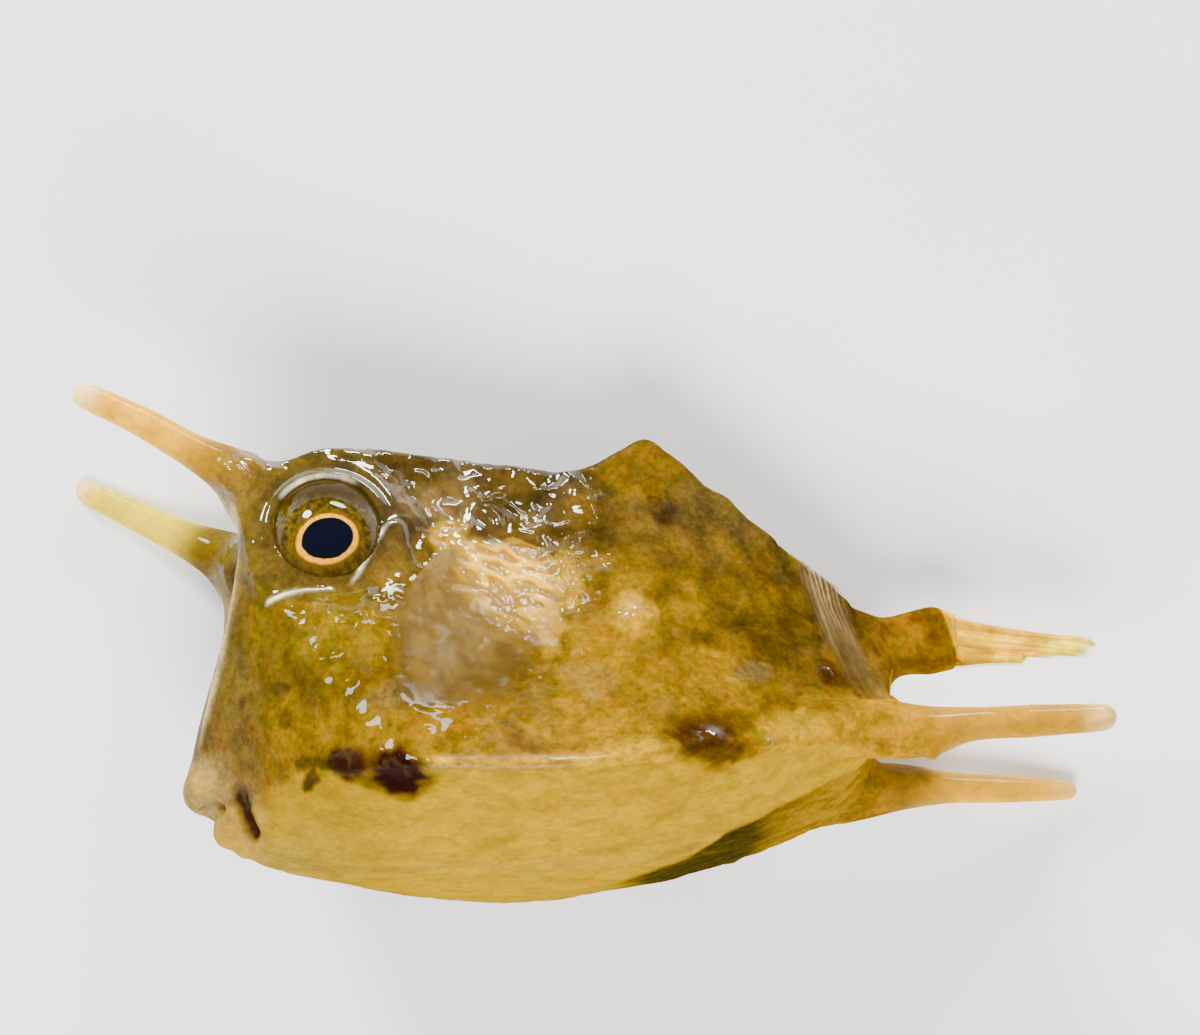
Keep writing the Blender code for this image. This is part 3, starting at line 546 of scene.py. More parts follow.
def smooth_joins(data):
    """Even out the joins of the pieces and raise the eyes' rims. Gives the new places."""
    places = relax(data, read(data.vertices, "co"), np.ones(len(data.vertices)), 5)
    fish = in_fish(places)
    x, y, z = fish.T
    join = np.maximum(fade(2.6, 4.0, x) * fade(2.6, 4.2, z), between(28.2, 29.6, 32.2, 33.2, x))
    for side in SIDES:
        distance, share = near_path(fish, mirrored(HORN_AXES[side], side))
        join = np.maximum(join, fade(0.5, 0.62, share) * fade(2.2, 3.4, distance))
    notch = np.linalg.norm(columns(x, np.abs(y), z) - (31.1, 2.4, 7.3), axis=1)
    places = relax(data, places, join, 34)
    fish = in_fish(relax(data, places, fade(1.3, 2.3, notch), 120))
    orbit = np.zeros(len(fish))
    for side in SIDES:
        radial, height, _ = eye_view(fish, side)
        opening = EYE_OPENING[side]
        rim_height = math.sqrt(EYE_BALL**2 - opening**2) + 0.02
        share = fade(opening + 0.3, opening + 2.3, radial) * (height > 0)
        fish = fish + mirrored(EYE_WAY, side) * ((rim_height - height) * share)[:, None]
        orbit = np.maximum(orbit, fade(opening + 1.8, opening + 3.0, radial) * (height > -1))
    places = relax(data, on_floor(fish), orbit, 14)
    set_places(data, places)
    return places


def sculpt(data):
    """Raise the plates, ridges and lids, and sink the eye sockets, gill slits and creases. Gives
    what the colours depend on."""
    places = smooth_joins(data)
    normals = read(data.vertex_normals, "vector")
    fish = in_fish(places)
    x, y, z = fish.T
    flat, both = columns(x, z), columns(x, np.abs(y), z)
    along, around, off = find_on_grid(fish)
    row = np.minimum(around, ROWS - around)
    inside, middle, label = plate_pattern(along + 0.16 * noise(fish, 1.7, 15, 2),
                                          around + 0.1 * noise(fish, 1.7, 17, 2))
    f = SimpleNamespace(row=row, inside=inside, dome=fade(0.08, 0.6, middle), past={}, turn={})

    on_shell = fade(0.12, 0.5, off) * fade(PLACE["vent"] - 0.6, PLACE["vent"] + 0.4, along)
    on_side = (row > BACK_RIDGE) * (row < BELLY_RIDGE)
    on_belly = smooth(0.0, 0.5, row - BELLY_RIDGE)
    clear_of_fin = 1 - fin_bed(x, z) * on_side
    lids = np.zeros(len(fish))
    for side in SIDES:
        radial, height, f.turn[side] = eye_view(fish, side)
        f.past[side] = np.where((height > 0) & (height < 5), radial - EYE_OPENING[side], 99.0)
        lids = np.maximum(lids, fade(0.3, 1.2, f.past[side]))
    shell = on_shell * (1 - lids)

    # plates, with a few stronger bosses
    f.relief = shell * (1 - 0.75 * fade(3.0, 7.5, x)) * (0.5 + 0.5 * smooth(14.0, 19.0, x))
    f.relief *= (1 - 0.6 * on_belly) * clear_of_fin
    f.plated = smooth(-1.0, 1.0, -y) * fade(-1.6, -0.3, row - BELLY_RIDGE)
    f.plated = np.maximum(f.plated, fade(1.5, 2.1, row)) * smooth(5.0, 9.0, x)
    f.plate_tone = lattice_noise(columns(label[:, 0] * 7.31, label[:, 1] * 7.31, 0), 5)
    lift = f.relief * (0.012 + 0.05 * f.plated) * smooth(0.0, 0.2, inside)
    lift += f.relief * 0.05 * f.dome * (1 + 0.9 * f.plate_tone)
    f.boss, glint = np.zeros(len(fish)), np.zeros(len(fish))
    for place, width, tall in BOSSES:
        hill = bump(np.linalg.norm(both - place, axis=1), width)
        lift += tall * hill
        if place[2] < DRY_ABOVE:
            f.boss = np.maximum(f.boss, hill * min(1.0, tall / 0.2))
            glint = np.maximum(glint, hill**2 * (width < 0.8))

    # bony granules and slack wet skin
    lift += shell * 0.022 * noise(fish, 0.75, 11, 3)
    slack = between(2.0, 3.5, 15.8, 18.2, x) * smooth(8.0, 10.5, z)
    calm, crumple = np.zeros(len(fish)), np.zeros(len(fish))
    for side in SIDES:
        past = f.past[side]
        behind_eye = bump(f.turn[side] - 38, 24) * between(0.9, 1.4, 2.6, 3.4, past)
        calm = np.maximum(calm, fade(0.9, 2.2, past) * (1 - behind_eye))
        crumple = np.maximum(crumple, behind_eye)
    lift += 0.11 * crumple * noise(fish, 0.9, 23, 2)
    wrinkles = noise(fish * (1, 1, 1.4), 1.2, 21, 2)
    lift += shell * slack * clear_of_fin * (1 - calm) * 0.055 * wrinkles
    puddles = smooth(-0.2, 0.3, noise(fish, 2.4, 45, 2))
    cheek = between(3.5, 5.5, 9.5, 12.0, x) * smooth(4.5, 7.5, z)
    f.plain = on_belly
    shine = 0.1 * fade(13.0, 18.0, x) + slack * (0.25 + 0.75 * puddles)
    shine += 0.6 * cheek * puddles + 0.6 * calm + crumple
    f.wet = np.clip(shine * (1 - on_belly) + 0.004, 0, 1)
    f.slack = np.maximum(np.maximum(slack, 0.6 * cheek) * (1 - 0.9 * calm), crumple)
    rippled = between(13.0, 15.5, 19.0, 22.0, x) * smooth(7.0, 9.0, z)
    f.ripple = np.maximum(np.maximum(f.slack, 1.3 * rippled), 0.4 * f.boss)

    # the side ridges of the belly and the back
    ragged = 0.6 + 0.4 * noise(fish, 1.6, 31, 2)
    f.crest = bump(row - BELLY_RIDGE, 0.1) * between(9.6, 10.8, 15.5, 18.5, x) * on_shell
    lift += f.crest * 0.08 * ragged
    far_keel = bump(row - BELLY_RIDGE, 0.8) * (y < 0) * between(19.0, 22.5, 26.0, 29.5, x)
    lift += far_keel * 0.35 * on_shell
    f.wet = np.clip(f.wet + 0.8 * f.crest + 0.9 * glint, 0, 1)
    lift += bump(row - BACK_RIDGE, 0.3) * 0.12 * on_shell * (0.4 + 0.9 * ragged) * smooth(5.0, 7.5, x)

    # gill slits, nostrils, the crease behind the lips and the mouth
    f.grooves = np.zeros(len(fish))
    for side in SIDES:
        distance, share = near_path(fish, mirrored(GILL, side))
        slit = bump(distance, 0.2) * (0.4 + 0.6 * np.sin(math.pi * np.clip(share, 0.04, 0.96)))
        lift += 0.1 * bump(distance - 0.42, 0.2) - 0.4 * slit
        distance = np.linalg.norm(fish - mirrored(NOSTRIL, side), axis=1)
        pit = bump(distance, 0.2)
        lift += 0.07 * bump(distance - 0.36, 0.13) - 0.28 * pit
        f.grooves = np.maximum(f.grooves, np.maximum(slit, pit))
    distance, share = near_path(flat, MOUTH_CREASE)
    width = (0.42 - 0.28 * share) * (1 + 0.35 * noise(fish, 0.7, 95, 2))
    f.crease = bump(distance, width) * between(0.0, 0.25, 0.9, 1.0, share) * ((y > 0.7) + 0.6 * (y < -0.7))
    lips = fade(0.6, 1.5, near_path(flat, LIP_LINE)[0])
    lift += lips * 0.035 * noise(fish * (1, 0.7, 1), 0.5, 97, 2) - 0.28 * f.crease
    mouth = bump(near_path(fish, MOUTH_LINE)[0], 0.19)
    lift -= 0.42 * mouth
    f.grooves = np.maximum(f.grooves, mouth)

    # the eye sockets with their lids, and the folds of skin round them
    for side in SIDES:
        past, turn = f.past[side], f.turn[side]
        over = smooth(-0.3, 0.6, np.sin(np.radians(turn) + 0.3))
        lift += (0.02 + 0.13 * over) * bump(past - 0.26, 0.2) - 0.04 * over * bump(past - 0.62, 0.17)
        lift += 0.035 * over * bump(past - 0.95, 0.2) - 1.2 * fade(-0.17, -0.03, past)
    # Painted highlight: a thin pale arc on the left eye's upper lid, and thin pale lines along the folds' ridges
    f.film = between(32, 46, 104, 122, f.turn["left"]) * bump(f.past["left"] - 0.12, 0.1)
    for fold in FOLDS:
        distance, share = near_path(flat, fold)
        ends = between(0.0, 0.12, 0.88, 1.0, share)
        ridge = bump(distance, 0.17) * ends * on_side * on_shell
        lift += 0.17 * ridge
        f.film = np.maximum(f.film, ridge * bump(distance, 0.1))
        f.wet = np.maximum(f.wet, 0.9 * bump(distance, 0.5) * ends * (row > BACK_RIDGE))

    places = places + normals * (lift * MM)[:, None]
    places[:, 2] = np.maximum(places[:, 2], 0.00002)
    set_places(data, places)
    f.fish = in_fish(places)
    return f


# Colours of the skin, as the shares of red, green and blue light that it returns
OLIVE = (0.085, 0.057, 0.001)
OLIVE_DARK = (0.032, 0.019, 0.001)
CROWN = (0.029, 0.018, 0.003)
FLANK = (0.125, 0.068, 0.001)
OCHRE = (0.24, 0.125, 0.0)
RUST = (0.04, 0.016, 0.0)
GOLD = (0.42, 0.235, 0.004)
BELLY = (0.37, 0.212, 0.0)
BELLY_FRONT = (0.27, 0.165, 0.0)
CHIN = (0.28, 0.19, 0.026)
DARK_STREAK_AND_FAR_SHADE = (0.033, 0.025, 0.001)
CHEEK = (0.17, 0.108, 0.001)
YELLOW = (0.27, 0.15, 0.0)
HORN = {"left": (0.76, 0.37, 0.0), "right": (0.7, 0.51, 0.01)}
HORN_ROOT = {"left": (0.22, 0.115, 0.004), "right": (0.11, 0.07, 0.004)}
HORN_TIP = (0.98, 0.66, 0.24)
SPINE = {"left": (0.42, 0.205, 0.003), "right": (0.62, 0.31, 0.002)}
SPINE_ROOT = {"left": (0.33, 0.16, 0.0), "right": (0.2, 0.104, 0.004)}
SPINE_ROOT_END = {"left": 0.4, "right": 0.46}
SPINE_TIP = (0.86, 0.57, 0.22)
SPINE_TIP_STRENGTH = {"left": 0.7, "right": 0.4}
LIP = (0.29, 0.19, 0.05)
LOWER_LIP = (0.35, 0.205, 0.02)
# Painted highlight: the white line of light along the folds round the eye and on the left upper lid
PAINTED_GLINT = (1.0, 0.9, 0.7)
MUZZLE = (0.09, 0.048, 0.004)
# The dark blotches' colour, which is also painted as shade in the gill slits, nostrils and mouth
BLOTCH_AND_GROOVE_SHADE = (0.014, 0.003, 0.002)
# Dark brown: a spot in the oval patch, and painted shade in the crease behind the lips
SPOT_AND_CREASE_SHADE = (0.02, 0.007, 0.003)
# Pale front edge of the face, partly its own pale colour and partly a painted sheen
PALE_RIM_AND_SHEEN = (0.56, 0.42, 0.19)
# Golden crest of the belly's ridge, partly its own colour and partly a painted highlight along the crest
CREST_GOLD_AND_HIGHLIGHT = (0.8, 0.43, 0.02)
MAUVE = (0.14, 0.09, 0.028)
TAIL_ROOT = (0.135, 0.07, 0.004)
STALK = (0.23, 0.112, 0.0)
STALK_TOP = (0.085, 0.035, 0.001)
IRIS_DARK = (0.022, 0.012, 0.0)
IRIS = (0.11, 0.072, 0.001)
IRIS_LILAC = (0.06, 0.035, 0.012)
# Painted shade in the socket, where the lid's edge meets the eye
SOCKET_SHADE = (0.04, 0.022, 0.001)
IRIS_WARM = (0.11, 0.05, 0.0)
RING = (0.62, 0.22, 0.0)
RING_PALE = (0.85, 0.37, 0.0)
PUPIL = (0.0004, 0.001, 0.006)
FIN_RAY = (0.21, 0.128, 0.03)
FIN_WEB = (0.19, 0.115, 0.024)
FIN_EDGE = (0.125, 0.072, 0.01)
FIN_SHADE = (0.4, 0.19, 0.0)
FIN_GILT = (1.0, 0.52, 0.0)
BAND = (0.34, 0.235, 0.105)
BAND_WEB = (0.12, 0.074, 0.022)
TAIL_RAY = (0.95, 0.56, 0.0)
TAIL_WEB = (0.8, 0.415, 0.0)
TAIL_TIP = (0.98, 0.78, 0.03)

# Marks: the place of the middle, half length and half height in the top view, tilt in
# degrees, colour, strength
MARKS = (
    # the hump painted lighter than the rest of the crown: a painted pool of light
    ((20.0, 4.2, 16.2), 2.2, 1.7, 0, FLANK, 0.8),
    ((8.97, 8.3, 0.25), 1.6, 1.1, -24, BLOTCH_AND_GROOVE_SHADE, 1.0),
    ((6.64, 7.8, 0.85), 0.95, 0.75, -8, BLOTCH_AND_GROOVE_SHADE, 0.98),
    ((7.7, 8.0, 0.5), 0.8, 0.45, 0, BLOTCH_AND_GROOVE_SHADE, 0.5),
    ((5.2, 6.35, 0.55), 0.42, 0.6, -10, OLIVE_DARK, 0.95),
    ((4.95, 6.3, 1.35), 0.35, 0.4, 0, OLIVE_DARK, 0.8),
    ((5.7, 6.8, 1.0), 0.6, 0.35, -20, OLIVE_DARK, 0.75),
    ((22.47, 8.6, 2.1), 2.2, 1.3, -4, RUST, 0.92),
    ((22.4, 8.65, 2.2), 1.2, 0.6, 8, SPOT_AND_CREASE_SHADE, 0.55),
    ((14.1, 9.0, 1.75), 1.0, 0.42, -35, RUST, 0.6),
    ((2.32, 4.16, 4.76), 0.28, 0.28, 0, BLOTCH_AND_GROOVE_SHADE, 0.55),
    ((4.0, 6.31, 4.54), 0.4, 0.32, 0, BLOTCH_AND_GROOVE_SHADE, 0.55),
    ((4.15, 6.25, 3.2), 0.3, 0.45, 0, OLIVE_DARK, 0.7),
    ((20.77, 4.5, 13.79), 0.6, 0.5, -30, BLOTCH_AND_GROOVE_SHADE, 0.6),
    ((20.34, 4.42, 14.5), 0.35, 0.3, 0, BLOTCH_AND_GROOVE_SHADE, 0.5),
    ((27.95, 4.75, 6.6), 0.85, 0.45, -35, RUST, 1.0),
    ((23.6, 5.6, 8.8), 0.8, 0.6, -50, OLIVE_DARK, 0.5),
    ((25.5, 5.2, 7.6), 0.5, 0.9, 10, OLIVE_DARK, 0.4),
    ((19.15, 6.22, 8.64), 0.95, 0.85, 0, GOLD, 0.75),
    ((22.9, 6.84, 5.89), 1.3, 1.0, -30, OCHRE, 0.8),
    ((18.4, 7.0, 5.9), 2.4, 1.7, 0, OCHRE, 0.55),
    ((17.0, 8.6, 3.0), 2.6, 1.2, 5, OCHRE, 0.6),
    ((15.6, 5.9, 8.3), 0.7, 1.5, 10, GOLD, 0.85),
    ((16.4, 5.4, 10.2), 0.6, 1.2, 10, GOLD, 0.6),
    ((12.3, 5.4, 11.2), 1.5, 0.9, -20, GOLD, 0.9),
    ((13.6, 5.2, 10.6), 0.8, 0.8, 0, RUST, 0.5),
    ((11.2, 5.3, 12.2), 0.9, 0.6, 30, GOLD, 0.8),
    ((9.7, 5.3, 12.5), 0.4, 0.55, 0, RUST, 0.8),
    ((9.6, 7.6, 4.2), 2.6, 0.7, 8, MAUVE, 0.55),
    ((10.8, 4.9, 13.7), 1.6, 1.0, 0, MAUVE, 0.6),
    ((17.0, 4.6, 13.0), 1.6, 1.3, 0, OLIVE_DARK, 0.35),
    ((24.3, 6.5, 6.0), 0.7, 0.5, 0, MAUVE, 0.7),
    ((17.3, 7.7, 4.9), 1.4, 0.8, -20, MAUVE, 0.4),
    ((27.4, 6.9, 3.3), 3.2, 0.75, 6, YELLOW, 0.7),
    ((26.2, 7.2, 3.1), 2.6, 0.8, 6, BELLY, 0.6),
    ((29.6, 3.3, 7.3), 1.5, 0.45, -55, MAUVE, 0.45),
    ((28.6, 3.2, 8.6), 1.2, 0.5, -50, MAUVE, 0.4),
    ((30.6, 1.6, 9.4), 0.7, 0.9, 0, RUST, 0.6),
    ((6.3, 7.0, 7.3), 2.7, 1.7, 0, CHEEK, 0.6),
    ((17.73, 6.5, 7.2), 1.3, 1.2, 0, OCHRE, 0.5),
)

# Where painted shade darkens the belly's far side, the side towards the floor: x, and the y below which it does
FAR_SHADE_LINE = ((18.0, 21.0, 22.5, 23.8, 26.0, 28.2, 31.0), (-6.5, -3.6, -2.0, 0.6, 1.9, 2.5, 1.6))


def layered(colour, layers):
    """The colour with these laid over it, each as strong as its amount at each point."""
    for tint, amount in layers:
        amount = np.clip(amount, 0, 1)[:, None]
        colour = colour * (1 - amount) + np.asarray(tint) * amount
    return colour


def paint(f):
    """The skin's broad colours, in linear values, with painted shade in its grooves and creases and a few painted
    highlights.
    """
    fish, row = f.fish, f.row
    x, y, z = fish.T
    soft = noise(fish, 3.2, 41, 4)
    mottle = noise(fish, 1.3, 51, 4)
    ragged = noise(fish, 0.45, 57, 2)
    streak = noise(fish * (0.35, 1, 1), 1.6, 47, 3)
    edge = 0.45 * soft + 0.3 * mottle

    upper = smooth(8.5, 14.5, z + edge * 2)
    root = smooth(28.8, 30.4, x + 0.5 * edge) * smooth(4.6, 5.8, z)
    low = row - BELLY_RIDGE + 0.2 * edge + 0.3 * bump(x - 19.0, 2.2)
    belly = smooth(-0.12, 0.22, low) * smooth(2.4, 4.6, x + edge)
    flank = 1 - belly
    # far: painted shade on the belly's far side, fading towards the front
    loose = fade(19.5, 24.5, x)
    far = (np.interp(x, *FAR_SHADE_LINE) - y + 0.9 * loose + 0.4 * edge) / (1 + 2.2 * loose)
    far = belly * smooth(-0.3, 0.4, far) * smooth(17.5, 22.0, x + edge)
    brown = smooth(25.0, 28.0, x + edge)
    seam = fade(0.0, 0.22, f.inside + 0.06 * mottle)
    pale = f.dome * (1 + f.plate_tone) * (1 + 0.5 * mottle)
    lilac = smooth(0.05, 0.8, noise(fish, 1.5, 43, 3)) * flank * smooth(2.5, 5.0, z)
    colour = layered(np.broadcast_to(FLANK, fish.shape), [
        (CROWN, upper * 0.95),
        (OLIVE, fade(5.0, 10.0, x + edge) * 0.85),
        (OLIVE_DARK, smooth(19.0, 25.5, x + edge * 2) * smooth(4.5, 7.5, z) * 0.84),
        (OLIVE_DARK, smooth(0.1, 0.9, mottle) * 0.45),
        (OCHRE, smooth(0.15, 1.0, -mottle) * 0.3 * (1 - upper)),
        (OCHRE, smooth(1.0, 4.5, x) * fade(2.0, 5.5, z + edge) * 0.3),
        (MAUVE, smooth(17.0, 19.5, x) * smooth(10.0, 14.5, z + edge) * 0.3),
        (TAIL_ROOT, root * (0.85 + 0.2 * mottle)),
        (BELLY, belly),
        (BELLY_FRONT, belly * fade(6.0, 11.0, x + edge * 2) * 0.8),
        (CHIN, smooth(7.6, 11.0, row + edge * 0.6) * fade(4.5, 9.0, x) * 0.8),
        (CHIN, belly * smooth(10.0, 10.9, row + 0.3 * edge) * 0.35),
        (OCHRE, belly * smooth(0.1, 0.9, streak) * 0.35),
        (DARK_STREAK_AND_FAR_SHADE, belly * smooth(0.2, 1.0, -streak) * 0.25),
        # painted shade on the belly's far side, which turns ochre at its rear end
        (DARK_STREAK_AND_FAR_SHADE, far * (1.05 + 0.2 * mottle) * (1 - 0.6 * brown)),
        (OCHRE, far * brown * 0.8),
        (OLIVE_DARK, seam * f.relief * (0.16 + 0.5 * f.plated) * flank),
        (OCHRE, seam * belly * (1 - far) * 0.3),
        (GOLD, pale * f.relief * flank * 0.11),
        (MAUVE, lilac * (0.1 + 0.3 * f.slack)),
        (GOLD, f.boss * (0.35 + 0.3 * mottle) * flank),
        # the ridge's crest: its own golden colour and a painted highlight
        (CREST_GOLD_AND_HIGHLIGHT, f.crest * (0.5 + 0.5 * mottle) * 0.9),
    ])

    warp = fish + 0.22 * columns(noise(fish, 0.8, 61, 2), 0, noise(fish, 0.8, 71, 2))
    ahead, across = seen_from_above(warp)
    near = (np.abs(y) > 2.2) * (row > BACK_RIDGE) * (row < BELLY_RIDGE + 1.2)
    for middle, length, tall, tilt, tint, strength in MARKS:
        c, s = math.cos(math.radians(tilt)), math.sin(math.radians(tilt))
        mark_ahead, mark_across = seen_from_above(middle)
        dx, dy = ahead - mark_ahead, across - mark_across
        reach = np.hypot((dx * c + dy * s) / length, (dy * c - dx * s) / tall)
        reach += 0.16 * mottle + 0.12 * ragged
        colour = layered(colour, [(tint, strength * fade(0.6, 1.25, reach) * near)])

    # a pale band along the front edge of the face, partly the skin's own pale edge and partly a painted sheen
    brow = bump(row - BACK_RIDGE + 0.1, 0.27 + 0.06 * mottle) * fade(2.2, 3.4, x)
    brow *= between(2.6, 3.6, 12.6, 14.0, z) * (0.25 + 0.75 * smooth(-1.0, 1.0, y))
    muzzle = fade(2.0, 3.4, np.hypot(x - 1.2, (z - 1.0) * 0.8) + 0.3 * edge)
    lips = fade(0.45, 1.5, near_path(columns(x, z), LIP_LINE)[0] + 0.35 * mottle)
    colour = layered(colour, [
        (PALE_RIM_AND_SHEEN, brow * (0.9 + 0.25 * ragged)),
        (MUZZLE, muzzle * smooth(-0.6, 1.2, z + 0.5 * edge) * 0.8),
        (LIP, lips * 0.9),
        (LOWER_LIP, lips * fade(0.3, 1.1, z) * 0.8),
        # painted shade: darker in the crease behind the lips, and in the gill slits, nostrils and mouth
        (SPOT_AND_CREASE_SHADE, f.crease * 1.25),
        (BLOTCH_AND_GROOVE_SHADE, f.grooves * 0.8),
    ])

    bone = np.zeros(len(x))
    for side in SIDES:
        distance, share = near_path(fish, mirrored(HORN_AXES[side], side))
        mine = fade(1.5, 2.1, distance)
        horn = layered(np.broadcast_to(HORN_ROOT[side], fish.shape), [
            (HORN[side], smooth(0.42, 0.62, share)),
            (HORN_TIP, smooth(0.88, 1.0, share + 0.04 * mottle)),
        ])
        colour = layered(colour, [(horn, mine * smooth(0.2, 0.45, share))])
        bone = np.maximum(bone, mine * smooth(0.3, 0.5, share))
        distance, share = near_path(fish, mirrored(SPINE_AXES[side], side))
        mine, start = fade(1.4, 1.9, distance), SPINE_ROOT_END[side]
        spine = layered(np.broadcast_to(SPINE_ROOT[side], fish.shape), [
            (SPINE[side], smooth(start, start + 0.22, share + 0.07 * mottle)),
            (SPINE_TIP, smooth(0.86, 1.0, share + 0.03 * mottle) * SPINE_TIP_STRENGTH[side]),
        ])
        colour = layered(colour, [(spine, mine * smooth(0.05, 0.4, share + 0.05 * edge))])
        bone = np.maximum(bone, mine * smooth(0.35, 0.5, share))

    stalk = smooth(30.2, 31.0, x) * (np.hypot(y, z - 9.8) < 2.0)
    knob = bump(np.hypot(x - 33.0, (z - 9.9) * 0.8) + 0.2 * mottle, 0.4)
    past_end = x - 33.45 - (11.1 - z) * 0.36
    layers = [
        (STALK, stalk * 0.9),
        (STALK_TOP, stalk * smooth(10.4, 11.3, z + 0.6 * mottle) * 0.7),
        (STALK_TOP, stalk * knob * 0.85),
        (OLIVE, stalk * smooth(0.1, 0.9, soft) * 0.25),
        (STALK_TOP, stalk * fade(31.0, 32.0, x + 0.4 * mottle) * smooth(9.0, 10.0, z) * 0.6),
        (TAIL_WEB, stalk * smooth(-0.1, 0.1, past_end + 0.06 * mottle)),
    ]
    for past in f.past.values():
        # a darker ring on the lids, and painted shade inside the socket under the lid's edge
        layers += [(OLIVE_DARK, bump(past - 0.3, 0.45) * 0.5), (SOCKET_SHADE, 0.7 * fade(-0.15, -0.02, past))]
    # the painted highlights along the left upper lid and the folds
    layers.append((PAINTED_GLINT, f.film * (0.85 + 0.3 * ragged)))
    f.bone = bone
    f.plain = np.maximum(f.plain * (1 - 0.9 * far), 0.35 * lips)
    f.wet = f.wet * (1 - bone) + 0.16 * bone
    return layered(colour, layers)


# Kinds of attributes by how many numbers each point has
KINDS = {1: ("FLOAT", "value"), 3: ("FLOAT_VECTOR", "vector"), 4: ("FLOAT_COLOR", "color")}


def add_attribute(made, name, values):
    kind, field = KINDS[values.size // len(values)]
    attribute = made.data.attributes.new(name, kind, "POINT")
    attribute.data.foreach_set(field, values.astype(float).ravel())


class Nodes:
    """A small helper for building a material's nodes."""

    def __init__(self, name):
        self.material = bpy.data.materials.new(name)
        self.material.use_nodes = True
        self.tree = self.material.node_tree

    def plug(self, socket, value):
        if isinstance(value, bpy.types.NodeSocket):
            self.tree.links.new(value, socket)
        elif isinstance(value, tuple) and len(socket.default_value) == 4:
            socket.default_value = (*value, 1.0)
        else:
            socket.default_value = value

    def shader(self, **values):
        """The values of the shader's own sockets, with _ for each space."""
        for name, value in values.items():
            self.plug(self.tree.nodes["Principled BSDF"].inputs[name.replace("_", " ")], value)

    def node(self, kind, output, sockets, **settings):
        node = self.tree.nodes.new("ShaderNode" + kind)
        for name, value in settings.items():
            setattr(node, name, value)
        for name, value in sockets.items():
            self.plug(node.inputs[name], value)
        return node.outputs[output]

    def attribute(self, name, output="Fac"):
        return self.node("Attribute", output, {}, attribute_name=name)

    def noise(self, vector, scale, detail=4.0, roughness=0.55, distortion=0.0):
        return self.node("TexNoise", "Fac", {"Vector": vector, "Scale": scale, "Detail": detail,
                                             "Roughness": roughness, "Distortion": distortion})

    def ramp(self, value, low, high, first=0.0, last=1.0):
        return self.node("MapRange", "Result", {"Value": value, "From Min": low, "From Max": high,
                                                "To Min": first, "To Max": last},
                         interpolation_type="SMOOTHSTEP")

    def math(self, operation, first, second):
        return self.node("Math", 0, {0: first, 1: second}, operation=operation)

    def times(self, first, second):
        return self.math("MULTIPLY", first, second)

    def plus(self, first, second):
        return self.math("ADD", first, second)

    def less(self, value, share):
        """1 less this share of the value."""
        return self.math("SUBTRACT", 1.0, self.times(value, share))

    def mix(self, factor, first, second, blend_type="MIX"):
        return self.node("Mix", "Result", {"Factor": factor, "A": first, "B": second},
                         data_type="RGBA", blend_type=blend_type)

    def bump(self, height, distance, strength):
        return self.node("Bump", "Normal", {"Height": height, "Distance": distance * MM, "Strength": strength})


def skin_material():
    n = Nodes("wet_plated_skin")
    fish = n.attribute("fish", "Vector")
    tone = n.attribute("tone", "Color")
    bone = n.attribute("bone")
    rich = n.times(n.less(bone, 0.55), n.less(n.attribute("plain"), 0.5))
    patch = n.ramp(n.noise(fish, 0.8, 5, 0.6, 0.5), 0.34, 0.66)
    tone = n.mix(rich, tone, n.mix(patch, (0.66, 0.65, 0.66), (1.24, 1.17, 0.95)), "MULTIPLY")
    green = n.ramp(n.noise(fish, 1.7, 5, 0.62, 0.4), 0.38, 0.62)
    tone = n.mix(rich, tone, n.mix(green, (0.86, 0.98, 0.9), (1.12, 1.0, 1.0)), "MULTIPLY")
    grain = n.ramp(n.noise(fish, 3.6, 6, 0.66, 0.3), 0.34, 0.66)
    grain = n.mix(grain, (0.74, 0.70, 0.62), (1.24, 1.26, 1.30))
    tone = n.mix(n.times(rich, 0.85), tone, grain, "MULTIPLY")
    film = n.times(n.ramp(n.noise(fish, 1.25, 5, 0.6, 0.6), 0.5, 0.7), n.times(rich, 0.18))
    tone = n.mix(film, tone, MAUVE)
    specks = n.node("TexVoronoi", "Distance", {"Vector": fish, "Scale": 2.2})
    specks = n.times(n.ramp(specks, 0.08, 0.3, 1.0, 0.0), n.ramp(n.noise(fish, 0.55, 3), 0.45, 0.62))
    tone = n.mix(n.times(n.times(specks, rich), 0.4), tone, OLIVE_DARK)
    soft = n.less(bone, 0.85)
    lumps = n.plus(n.noise(fish, 2.2, 4, 0.55), n.times(n.noise(fish, 9.0, 5, 0.6), 0.2))
    ripple = n.plus(n.times(n.attribute("ripple"), 1.8), n.times(soft, 0.15))
    waves = n.times(n.noise(fish, 0.9, 1.0, 0.4, 0.8), ripple)
    n.shader(
        Base_Color=tone, Roughness=n.ramp(n.noise(fish, 1.8, 4), 0.3, 0.7, 0.35, 0.55),
        Normal=n.bump(n.times(lumps, soft), 0.08, 0.7), Coat_Normal=n.bump(waves, 0.24, 1.0),
        Coat_Weight=n.attribute("wet"), Coat_Roughness=0.03, Coat_IOR=1.6, Specular_IOR_Level=0.0,
        Subsurface_Weight=n.plus(0.1, n.times(bone, 0.4)), Subsurface_Radius=(1.0, 0.55, 0.12),
        Subsurface_Scale=0.5 * MM)
    return n.material


PUPIL_SHIFT = (0.0, -0.95)
PUPIL_SIZE = (1.12, 0.82)
PUPIL_TILT = math.radians(-10)
EYE_REACH = math.radians(76)
EYE_SIDES = 128


